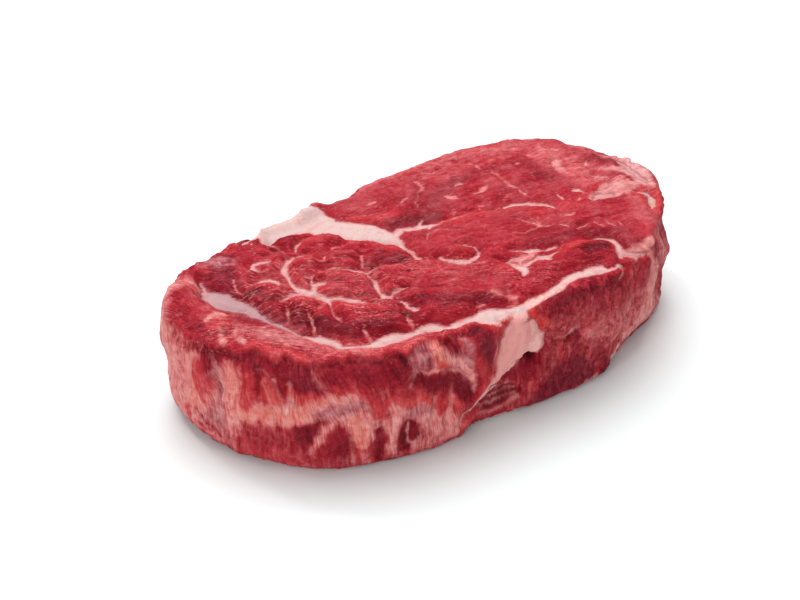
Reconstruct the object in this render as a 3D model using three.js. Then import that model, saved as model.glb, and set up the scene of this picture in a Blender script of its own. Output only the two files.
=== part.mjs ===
// A boneless raw beef steak: one thick slice across several muscles, lying on its lower cut face.
// Millimetres, +Z up. The origin is on the resting plane, under the middle of the bounding box.
//
// The upper cut face is a sheet of muscle domes with fat seams sunk between them. A rounded
// shoulder leads to a wall that swells, folds and tucks under, and a tongue of fat hangs down the
// near side over a notch. Places on the wall are given as an arc, measured along the outline
// anticlockwise from its first point, and a height above the resting plane.

import * as THREE from "three";

// Driving dimensions.
const THICKNESS = 36; // resting plane to the upper cut face, between its domes and seams
const OUTLINE = [
  [76.5, 4], [73, 23], [55, 38.8], [28, 43], [-6, 38.3], [-35, 32.6], [-63.5, 24.5],
  [-75, 8.5], [-69.5, -13], [-48.5, -33.5], [-18, -39.5], [14, -34.5], [44, -29.5], [67.5, -15.5],
]; // plan outline, anticlockwise, through the foot of the shoulder

// How finely the faces are divided.
const CELLS_LONG = 54; // cells of the cut face along X
const CELLS_SHORT = 30; // cells of the cut face along Y
const SHOULDER_ROWS = 4;
const WALL_ROWS = 12;
const FOOT_ROWS = 3;
const COLUMNS = 2 * (CELLS_LONG + CELLS_SHORT);
const REST_CORNERS = 7; // corners of the plain polygon in the middle of the resting face
const REST_SHARE = 0.4; // size of that polygon, as a share of the resting face

// The shoulder is where the cut face turns down into the wall, and the foot where the wall turns in.
const SHOULDER = { reach: 3, drop: 3 };
const SHOULDER_BANDS = [
  { name: "soft near rim", arc: 238, spread: 40, reach: 4.5, drop: 3.5 },
  { name: "round blunt end", arc: 192, spread: 14, reach: 1.5, drop: 2.5 },
  { name: "sharp knife edge", arc: 318, spread: 15, reach: -1.8, drop: -1.6 },
  { name: "bevel of the narrow end", arc: 350, spread: 8, reach: 1.5, drop: 2 },
];
const FOOT = { reach: 2.6, rise: 3.4 };
const FOOT_BANDS = [
  { name: "tuck under the fat tongue", arc: 284, spread: 10, reach: 2.6, rise: 3 },
  { name: "tuck at the narrow end", arc: 345, spread: 10, reach: 2.6, rise: 4.5 },
  { name: "tuck at the blunt end", arc: 188, spread: 16, reach: 2.6, rise: 4 },
];

// Muscles bulge out of the cut face as low domes: centre and half lengths in plan, turn in degrees.
const MUSCLES = [
  { name: "loin eye", at: [30, 27], half: [46, 15], turn: 3, rise: 1.1 },
  { name: "coarse cap", at: [-26, -6], half: [26, 19], turn: -24, rise: 1.5 },
  { name: "corner of the coarse cap", at: [-43, 20], half: [13, 7], turn: 12, rise: 0.8 },
  { name: "middle strap", at: [24, 2], half: [32, 9], turn: -2, rise: 0.9 },
  { name: "near strap", at: [8, -20], half: [26, 7], turn: 4, rise: 0.9 },
  { name: "ringed button", at: [42.5, -18.5], half: [8, 5], turn: -6, rise: 1.3 },
  { name: "curl", at: [7, -3.5], half: [6, 3.4], turn: -12, rise: 0.7 },
  { name: "raised lip of the blunt end", at: [-71, 6], half: [5, 16], turn: -8, rise: 1.6 },
  { name: "raised near lip", at: [-56, -25], half: [14, 4.5], turn: -38, rise: 1.3 },
  { name: "hollow of the far corner", at: [-59, 18], half: [9, 5], turn: 30, rise: -1.9 },
  { name: "sag of the far rim", at: [-38, 28], half: [13, 5], turn: 15, rise: -1.2 },
];

// Fat seams lie a little lower than the muscles: route in plan, half width and depth.
const SEAMS = [
  {
    name: "broad far seam", half: 3.2, depth: 1.1,
    route: [[-30, 31], [-23, 24], [-14, 16], [-5, 11], [-3.5, 2]],
  },
  {
    name: "near seam", half: 2.2, depth: 1.2,
    route: [[-64, 11], [-57, 2], [-50, -12], [-42, -23], [-28, -29], [0, -30.5], [18, -29.5]],
  },
  { name: "knife edge seam", half: 1.8, depth: 0.7, route: [[18, -29.5], [29, -25], [43, -24.5]] },
  { name: "ring seam", half: 1.8, depth: 0.8, route: [[40, -12.5], [48, -14], [51, -21], [58, -21]] },
  { name: "inner spur", half: 2, depth: 0.8, route: [[17, -13], [24, -17], [32, -13.5]] },
  { name: "strap seam", half: 1.8, depth: 0.8, route: [[-3, 13], [12, 12.5], [30, 12], [44, 6]] },
  { name: "curl seam", half: 1.4, depth: 0.6, route: [[1, -3], [6, -7], [13, -5]] },
];

// Swellings (out above 0) and hollows of the wall: centre, spread along the arc and in height.
const WALL_FORMS = [
  { name: "belly of the blunt end", at: [190, 22], spread: [22, 13], out: 2.8 },
  { name: "near belly", at: [240, 13], spread: [26, 9], out: 1.2 },
  { name: "fold below the near rim", at: [229, 28], spread: [16, 3.4], out: -1.1 },
  { name: "loose end of the fold", at: [266, 26], spread: [9, 3.6], out: -1 },
  { name: "lower near muscle", at: [262, 8], spread: [5, 6], out: 0.8 },
  { name: "lower near muscle beside it", at: [242, 8], spread: [5, 7], out: 0.7 },
  { name: "lobe beside the fat tongue", at: [285, 28], spread: [5, 10], out: 0.8 },
  { name: "swell under the knife edge", at: [315, 29], spread: [12, 6], out: 0.6 },
  { name: "drip at the foot", at: [328, 3.2], spread: [2.6, 2.4], out: 1.8 },
  { name: "knob of the narrow end", at: [375, 15], spread: [3.8, 3.4], out: 1.8 },
  { name: "narrow end belly", at: [12, 12], spread: [12, 8], out: 0.8 },
  { name: "far belly", at: [90, 18], spread: [40, 12], out: 1.4 },
];

// The tongue of fat, which comes down from the near seam and leans towards the blunt end.
const TONGUE = { route: [[298, 35], [299, 25], [294, 18], [287, 12.5], [279, 7]], half: 4.2, out: 1.4 };
// The notch past the tongue's free edge, where the wall steps back.
const NOTCH = { route: [[303, 16], [297, 15], [290, 10], [283, 5]], half: 3.2, out: -2.4 };

// Shallow folds run down the wall, uneven in width, and a slow swell runs over the whole slice.
const FOLDS = { pitch: 8.5, wander: 2.6, depth: 0.42 };
const SWELL = { pitchX: 47, pitchY: 38, height: 0.45 };
const RIM_WAVE = { pitch: 23, height: 0.55 };

const FULL_TURN = 2 * Math.PI;

// A smooth hump: 1 in the middle, fading to nothing a little over one spread away.
function hump(distance, spread) {
  return Math.exp(-((distance / spread) ** 2));
}

// The shorter way from one arc to another round the closed outline.
function arcGap(a, b, length) {
  const gap = Math.abs(a - b) % length;
  return Math.min(gap, length - gap);
}

// Distance from a point to a route of straight stretches.
function routeDistance(x, y, route) {
  let nearest = Infinity;
  for (let i = 0; i + 1 < route.length; i++) {
    const [ax, ay] = route[i];
    const [bx, by] = route[i + 1];
    const along = ((x - ax) * (bx - ax) + (y - ay) * (by - ay)) / ((bx - ax) ** 2 + (by - ay) ** 2);
    const t = THREE.MathUtils.clamp(along, 0, 1);
    nearest = Math.min(nearest, Math.hypot(x - ax - t * (bx - ax), y - ay - t * (by - ay)));
  }
  return nearest;
}

// How far a muscle's dome stands above the cut face at a point.
function domeRise({ at, half, turn, rise }, x, y) {
  const angle = THREE.MathUtils.degToRad(turn);
  const along = (x - at[0]) * Math.cos(angle) + (y - at[1]) * Math.sin(angle);
  const across = (y - at[1]) * Math.cos(angle) - (x - at[0]) * Math.sin(angle);
  return rise * hump(Math.hypot(along / half[0], across / half[1]), 1);
}

// Height of the upper cut face over a point of the plan.
function cutFaceHeight(x, y) {
  let height = THICKNESS;
  height += SWELL.height * Math.sin((FULL_TURN * x) / SWELL.pitchX) * Math.cos((FULL_TURN * y) / SWELL.pitchY);
  for (const muscle of MUSCLES) {
    height += domeRise(muscle, x, y);
  }
  for (const seam of SEAMS) {
    height -= seam.depth * hump(routeDistance(x, y, seam.route), seam.half);
  }
  return height;
}

// The outline as a closed curve, with the outward direction at any arc.
class Outline {
  constructor(points) {
    const corners = points.map(([x, y]) => new THREE.Vector3(x, y, 0));
    this.curve = new THREE.CatmullRomCurve3(corners, true, "centripetal");
    this.curve.arcLengthDivisions = 1200;
    this.length = this.curve.getLength();
  }

  share(arc) {
    return THREE.MathUtils.euclideanModulo(arc / this.length, 1);
  }

  point(arc) {
    return this.curve.getPointAt(this.share(arc));
  }

  outward(arc) {
    const tangent = this.curve.getTangentAt(this.share(arc));
    return new THREE.Vector3(tangent.y, -tangent.x, 0).normalize();
  }
}

const outline = new Outline(OUTLINE);

// A size that differs by bands along the outline.
function banded(base, bands, key, arc) {
  return bands.reduce(
    (size, band) => size + band[key] * hump(arcGap(arc, band.arc, outline.length), band.spread),
    base[key],
  );
}

// How far the wall stands outside the outline at an arc and a height.
function wallOut(arc, height) {
  let out = 0;
  for (const form of WALL_FORMS) {
    const gap = arcGap(arc, form.at[0], outline.length);
    out += form.out * hump(gap, form.spread[0]) * hump(height - form.at[1], form.spread[1]);
  }
  for (const strip of [TONGUE, NOTCH]) {
    out += strip.out * hump(routeDistance(arc, height, strip.route), strip.half);
  }
  const phase = (FULL_TURN * (arc + FOLDS.wander * Math.sin(height / FOLDS.pitch + arc / 17))) / FOLDS.pitch;
  return out + FOLDS.depth * Math.sin(phase) * Math.sin((Math.PI * height) / THICKNESS);
}

// One column of the skin at an arc: points from the cut face's edge down to the resting plane.
function columnPoints(arc) {
  const middle = outline.point(arc);
  const outward = outline.outward(arc);
  const place = (offset, height) => middle.clone().addScaledVector(outward, offset).setZ(height);

  const reach = banded(SHOULDER, SHOULDER_BANDS, "reach", arc);
  const drop = banded(SHOULDER, SHOULDER_BANDS, "drop", arc);
  const footReach = banded(FOOT, FOOT_BANDS, "reach", arc);
  const footRise = banded(FOOT, FOOT_BANDS, "rise", arc);
  const wave = RIM_WAVE.height * Math.sin((FULL_TURN * arc) / RIM_WAVE.pitch + Math.sin(arc / 9));

  const edge = place(wave - reach, 0);
  const rim = cutFaceHeight(edge.x, edge.y);
  const points = [edge.setZ(rim)];
  for (let row = 1; row <= SHOULDER_ROWS; row++) {
    const turn = (Math.PI / 2) * (row / SHOULDER_ROWS);
    const height = rim - drop * (1 - Math.cos(turn));
    const offset = wave - reach * (1 - Math.sin(turn)) + wallOut(arc, height) * Math.sin(turn);
    points.push(place(offset, height));
  }
  for (let row = 1; row <= WALL_ROWS; row++) {
    const height = THREE.MathUtils.lerp(rim - drop, footRise, row / WALL_ROWS);
    points.push(place(wave * (1 - row / WALL_ROWS) + wallOut(arc, height), height));
  }
  for (let row = 1; row <= FOOT_ROWS; row++) {
    const turn = (Math.PI / 2) * (row / FOOT_ROWS);
    const height = row < FOOT_ROWS ? footRise * (1 - Math.sin(turn)) : 0;
    points.push(place(wallOut(arc, height) - footReach * (1 - Math.cos(turn)), height));
  }
  return points;
}

// Vertices and triangles of the skin as it is put together.
class Skin {
  constructor() {
    this.positions = [];
    this.indices = [];
  }

  vertex(point) {
    this.positions.push(point.x, point.y, point.z);
    return this.positions.length / 3 - 1;
  }

  distance(a, b) {
    const [ax, ay, az] = this.positions.slice(3 * a, 3 * a + 3);
    const [bx, by, bz] = this.positions.slice(3 * b, 3 * b + 3);
    return Math.hypot(ax - bx, ay - by, az - bz);
  }

  // Four corners, anticlockwise seen from outside, cut along the shorter diagonal.
  quad(a, b, c, d) {
    if (this.distance(a, c) < this.distance(b, d)) {
      this.indices.push(a, b, c, a, c, d);
    } else {
      this.indices.push(a, b, d, b, c, d);
    }
  }

  geometry() {
    const made = new THREE.BufferGeometry();
    made.setAttribute("position", new THREE.Float32BufferAttribute(this.positions, 3));
    made.setIndex(this.indices);
    return made;
  }
}

// Number of the column that meets the edge of the cut face's grid at cell corner (i, j).
function edgeColumn(i, j) {
  const firstCorner = CELLS_SHORT / 2;
  if (i === CELLS_LONG) {
    return (j - firstCorner + COLUMNS) % COLUMNS;
  }
  if (j === CELLS_SHORT) {
    return firstCorner + CELLS_LONG - i;
  }
  if (i === 0) {
    return firstCorner + CELLS_LONG + CELLS_SHORT - j;
  }
  return firstCorner + CELLS_LONG + CELLS_SHORT + i;
}

// A point inside the cut face, blended from the four sides of its edge (a Coons patch).
function cutFacePoint(i, j, edgePoint) {
  const u = i / CELLS_LONG;
  const v = j / CELLS_SHORT;
  const blended = new THREE.Vector3()
    .addScaledVector(edgePoint(i, 0), 1 - v)
    .addScaledVector(edgePoint(i, CELLS_SHORT), v)
    .addScaledVector(edgePoint(0, j), 1 - u)
    .addScaledVector(edgePoint(CELLS_LONG, j), u)
    .addScaledVector(edgePoint(0, 0), -(1 - u) * (1 - v))
    .addScaledVector(edgePoint(CELLS_LONG, 0), -u * (1 - v))
    .addScaledVector(edgePoint(0, CELLS_SHORT), -(1 - u) * v)
    .addScaledVector(edgePoint(CELLS_LONG, CELLS_SHORT), -u * v);
  return blended.setZ(cutFaceHeight(blended.x, blended.y));
}

// The flat face that the slice lies on: a plain polygon in the middle, and a fan from each of its
// corners to the stretch of the rim that faces it.
function addRestingFace(skin, rimPoints, rim) {
  const stretch = COLUMNS / REST_CORNERS;
  const corners = [];
  for (let c = 0; c < REST_CORNERS; c++) {
    const facing = rimPoints[Math.floor((c + 0.5) * stretch)];
    corners.push(skin.vertex(facing.clone().multiplyScalar(REST_SHARE)));
  }
  for (let k = 0; k < COLUMNS; k++) {
    skin.indices.push(corners[Math.floor(k / stretch)], rim[(k + 1) % COLUMNS], rim[k]);
  }
  for (let c = 0; c < REST_CORNERS; c++) {
    const next = (c + 1) % REST_CORNERS;
    skin.indices.push(corners[c], corners[next], rim[next * stretch]);
    if (c > 0 && next > 0) {
      skin.indices.push(corners[0], corners[next], corners[c]);
    }
  }
}

function steakGeometry() {
  const skin = new Skin();
  const columns = Array.from({ length: COLUMNS }, (_, k) => columnPoints((k / COLUMNS) * outline.length));
  const numbers = columns.map((points) => points.map((point) => skin.vertex(point)));

  // The upper cut face.
  const edgePoint = (i, j) => columns[edgeColumn(i, j)][0];
  const isEdge = (i, j) => i === 0 || j === 0 || i === CELLS_LONG || j === CELLS_SHORT;
  const grid = [];
  for (let i = 0; i <= CELLS_LONG; i++) {
    grid.push([]);
    for (let j = 0; j <= CELLS_SHORT; j++) {
      grid[i].push(isEdge(i, j) ? numbers[edgeColumn(i, j)][0] : skin.vertex(cutFacePoint(i, j, edgePoint)));
    }
  }
  for (let i = 0; i < CELLS_LONG; i++) {
    for (let j = 0; j < CELLS_SHORT; j++) {
      skin.quad(grid[i][j], grid[i + 1][j], grid[i + 1][j + 1], grid[i][j + 1]);
    }
  }

  // The shoulder, wall and foot.
  for (let k = 0; k < COLUMNS; k++) {
    const here = numbers[k];
    const next = numbers[(k + 1) % COLUMNS];
    for (let row = 0; row + 1 < here.length; row++) {
      skin.quad(here[row], here[row + 1], next[row + 1], next[row]);
    }
  }
  addRestingFace(skin, columns.map((points) => points.at(-1)), numbers.map((column) => column.at(-1)));

  // The bounding box is centred over the origin.
  const made = skin.geometry();
  made.computeBoundingBox();
  const centre = made.boundingBox.getCenter(new THREE.Vector3());
  made.translate(-centre.x, -centre.y, 0);
  made.computeVertexNormals();
  return made;
}

const meat = new THREE.MeshStandardMaterial({ color: 0xb03040, roughness: 0.45, metalness: 0 });
const steak = new THREE.Mesh(steakGeometry(), meat);
steak.name = "steak";

const group = new THREE.Group();
group.add(steak);

export default group;
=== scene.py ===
"""A thick boneless raw beef steak, lying on its lower cut face on a pale floor.

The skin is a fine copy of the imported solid. Named strands of fat and named strokes of paint are
laid on it in two flat sheets, the plan of the cut face and the unrolled wall, and become point
attributes. A Geometry Nodes tree gives the skin its relief from them, and one material its looks.

Sheet sizes are millimetres: x and y on the cut face, and on the wall the arc along the outline,
anticlockwise from its first point, and the height above the floor. Blender sizes are metres.
"""

import logging
import math
from dataclasses import dataclass, field
from enum import Enum
from typing import NamedTuple, Optional, Sequence, Union

import bmesh
import bpy
import numpy as np
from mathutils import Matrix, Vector, noise
from mathutils.kdtree import KDTree


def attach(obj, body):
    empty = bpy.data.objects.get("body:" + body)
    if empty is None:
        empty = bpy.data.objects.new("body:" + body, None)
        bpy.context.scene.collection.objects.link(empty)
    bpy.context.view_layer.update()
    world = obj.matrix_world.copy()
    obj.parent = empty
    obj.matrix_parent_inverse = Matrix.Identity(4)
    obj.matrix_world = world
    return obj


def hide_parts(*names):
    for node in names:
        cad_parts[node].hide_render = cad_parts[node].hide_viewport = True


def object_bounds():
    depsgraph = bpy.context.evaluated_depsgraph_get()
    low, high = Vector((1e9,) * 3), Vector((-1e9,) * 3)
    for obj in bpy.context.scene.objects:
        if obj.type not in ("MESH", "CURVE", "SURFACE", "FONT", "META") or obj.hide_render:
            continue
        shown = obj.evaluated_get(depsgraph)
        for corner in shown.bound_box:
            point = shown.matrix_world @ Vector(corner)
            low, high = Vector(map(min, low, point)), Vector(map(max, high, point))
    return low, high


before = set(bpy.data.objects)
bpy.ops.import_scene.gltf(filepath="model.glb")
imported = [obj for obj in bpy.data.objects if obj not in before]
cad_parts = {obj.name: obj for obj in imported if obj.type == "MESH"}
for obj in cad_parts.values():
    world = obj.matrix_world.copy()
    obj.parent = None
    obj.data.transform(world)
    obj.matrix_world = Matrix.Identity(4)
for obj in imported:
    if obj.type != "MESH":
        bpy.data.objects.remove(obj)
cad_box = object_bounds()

log = logging.getLogger("steak")
MM = 0.001

Socket = bpy.types.NodeSocket
Value = Union[float, Sequence[float], Socket]
Inputs = dict[Union[str, int], Value]
Looks = dict[str, Socket]
Pair = tuple[float, float]
Triple = tuple[float, float, float]
Quad = tuple[float, float, float, float]
Route = tuple[Triple, ...]
Colour = Quad
Noise = Triple
Fade = tuple[float, ...]
Weights = tuple[tuple[str, float], ...]

# The solid's plan outline, and how far its bounding box was moved over the origin.
OUTLINE = (
    (76.5, 4), (73, 23), (55, 38.8), (28, 43), (-6, 38.3), (-35, 32.6), (-63.5, 24.5),
    (-75, 8.5), (-69.5, -13), (-48.5, -33.5), (-18, -39.5), (14, -34.5), (44, -29.5), (67.5, -15.5),
)
OUTLINE_SHIFT = (0.478, -2.122)
THICKNESS = 36.0

# A patch fades inwards over this share of its softness. A thin one is no softer than this many
# millimetres and this many of its half widths.
INNER_FADE = 0.3
THIN_SOFT = (0.8, 1.5)


class Sheet(Enum):
    """The flat sheets that shapes are drawn on."""

    CUT = "cut"
    WALL = "wall"


class Look(NamedTuple):
    """Look of a patch: tone, paleness, tint, rise in mm and softness of its edge in mm.

    Tone runs from -1, dark maroon, to 1, light red. Paleness runs from 0, bare muscle, to 1, thick
    white membrane. Tint runs from -1, cool lilac, to 1, warm salmon. None leaves a value alone.
    """

    tone: Optional[float]
    pale: Optional[float]
    tint: Optional[float]
    rise: float
    edge: float


class Paint(Look, Enum):
    """The looks that patches are painted with."""

    PIT = (-1.0, 0.0, -0.2, -0.8, 1.4)
    # Sinks a patch deep and paints it near black: painted shade in the hollow.
    SHADED_HOLLOW = (-1.1, 0.0, -0.2, -1.9, 1.0)
    DARK = (-0.7, 0.0, -0.1, -0.3, 2.6)
    PURPLE = (-0.5, 0.1, -0.9, -0.1, 2.6)
    CRIMSON = (-0.35, 0.0, -0.2, 0.0, 3.0)
    RED = (0.1, 0.0, 0.1, 0.1, 3.0)
    BRIGHT = (0.34, 0.0, 0.4, 0.3, 2.0)
    ORANGE = (0.5, 0.15, 1.0, 0.1, 2.4)
    ROSE = (0.45, 0.38, -0.1, 0.0, 3.6)
    BLUSH = (0.5, 0.76, 0.1, 0.2, 3.6)
    SALMON = (0.5, 0.8, 0.8, 0.2, 3.6)
    LILAC = (0.1, 0.62, -0.9, 0.0, 3.4)
    FILM = (0.1, 0.92, -0.5, 0.1, 1.4)
    WHITE = (0.5, 1.0, 0.0, 0.3, 1.2)
    # Sinks a thin patch and paints it dark: painted shade in the crease.
    CREASE = (-0.7, None, None, -0.7, 0.7)
    COOL = (None, None, -1.0, 0.0, 2.0)
    PEACH = (None, None, 1.0, 0.0, 1.5)
    # Raises a bundle and paints it lighter: painted light on its top.
    BUNDLE = (0.3, 0.0, 0.1, 0.9, 1.5)
    SWELL = (None, None, None, 1.3, 5.0)
    HUMP = (None, None, None, 3.0, 6.0)
    SINK = (None, None, None, -0.9, 5.0)

    def soft(self, half: float) -> float:
        """How far a patch fades past its edge, which is less for a thin one that has a tone.

        Args:
            half: its mean half width in millimetres.

        Returns:
            Millimetres.
        """
        least, gain = THIN_SOFT
        return self.edge if self.tone is None else min(self.edge, least + gain * half)


@dataclass(frozen=True)
class Stroke:
    """A painted patch: a chain of round brush marks, each two places and a half width."""

    name: str
    paint: Paint
    route: Route
    cover: float = 1.0


@dataclass(frozen=True)
class Strand:
    """A strand of fat: a chain of round marks with a crisp edge, sunk a little into the muscle."""

    name: str
    route: Route


@dataclass(frozen=True)
class Veins:
    """A family of thin soft pink lines, each a chain of round marks."""

    name: str
    routes: tuple[Route, ...]


@dataclass(frozen=True)
class Zone:
    """A soft zone where a fine pattern shows, a chain of round marks."""

    name: str
    sheet: Sheet
    route: Route
    soft: float
    strength: float


@dataclass(frozen=True)
class Muscle:
    """A muscle seen on the cut face: the zone it fills, the run of its grain and its bundles."""

    name: str
    zone: Route
    turn: float
    bundle: Pair
    coarse: float
    tone: float


MUSCLES = (
    Muscle("loin eye", ((-8, 27, 9), (10, 27, 13), (35, 27, 14), (58, 24, 12)), -2, (5.0, 2.4), 0.25, 0.04),
    Muscle("coarse cap", ((-56, 14, 7), (-45, 8, 12), (-35, 0, 14), (-25, -8, 15), (-14, -12, 13)), -22,
        (7.5, 3.6), 1.0, 0.0),
    Muscle("middle strap", ((4, 6, 5), (20, 4, 6), (40, -2, 7), (58, -6, 9)), -6, (6.0, 2.0), 0.4, 0.15),
    Muscle("near strap", ((-4, -18, 9), (10, -20, 9), (26, -22, 6)), -12, (6.5, 2.6), 0.6, 0.05),
    Muscle("ringed button", ((36, -21, 4), (43, -21, 4.5)), -10, (4.0, 2.2), 0.5, 0.0),
    Muscle("near band", ((-66, -8, 4), (-58, -17, 4), (-50, -25, 4), (-38, -32.5, 2.6), (-22, -35.5, 2),
        (-8, -37.5, 2), (2, -39, 2)), -28, (4.0, 1.8), 0.45, -0.12),
    Muscle("blunt end", ((-71, 9, 4), (-67, 16, 3)), -70, (4.0, 1.8), 0.5, -0.15),
    Muscle("narrow end", ((62, 10, 4), (69, 17, 3), (66, -12, 4)), 5, (5.0, 2.2), 0.3, 0.2),
)

NETS = (
    Zone("cap", Sheet.CUT, ((-52, 8, 3), (-38, 4, 9), (-24, -6, 10), (-12, -8, 6)), 5.0, 0.15),
    Zone("near strap", Sheet.CUT, ((-8, -20, 4), (10, -21, 4)), 5.0, 0.1),
    Zone("mottled base", Sheet.WALL, ((216, 8, 3), (224, 7, 4), (231, 6, 3)), 3.0, 0.25),
    Zone("low left", Sheet.WALL, ((198, 8, 3), (207, 7, 3)), 3.0, 0.3),
    Zone("crimson wall", Sheet.WALL, ((308, 26, 4), (322, 22, 6), (336, 18, 6)), 5.0, 0.3),
)

FRAYS = (
    Zone("left of the cap", Sheet.CUT, ((-52, 2, 3), (-46, -3, 4), (-42, -9, 3)), 4.0, 0.5),
    Zone("middle of the cap", Sheet.CUT, ((-38, 8, 2), (-36, -4, 3), (-20, -10, 3)), 5.0, 0.35),
    Zone("foot of the cap", Sheet.CUT, ((-28, -18, 3), (-20, -21, 3)), 4.0, 0.5),
    Zone("middle", Sheet.CUT, ((-8, -6, 3), (0, -9, 4), (8, -13, 3)), 5.0, 0.4),
    Zone("spur", Sheet.CUT, ((15, -20, 2), (26, -24, 2.5)), 4.0, 0.4),
    Zone("near band", Sheet.CUT, ((-66, -9, 2), (-56, -19, 3), (-44, -29, 2.4), (-24, -35, 1.5),
        (-2, -37.5, 1.5)), 3.0, 0.6),
    Zone("blunt bevel", Sheet.WALL, ((188, 35, 2), (198, 34, 3), (206, 36, 2)), 3.0, 0.6),
)

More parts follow.
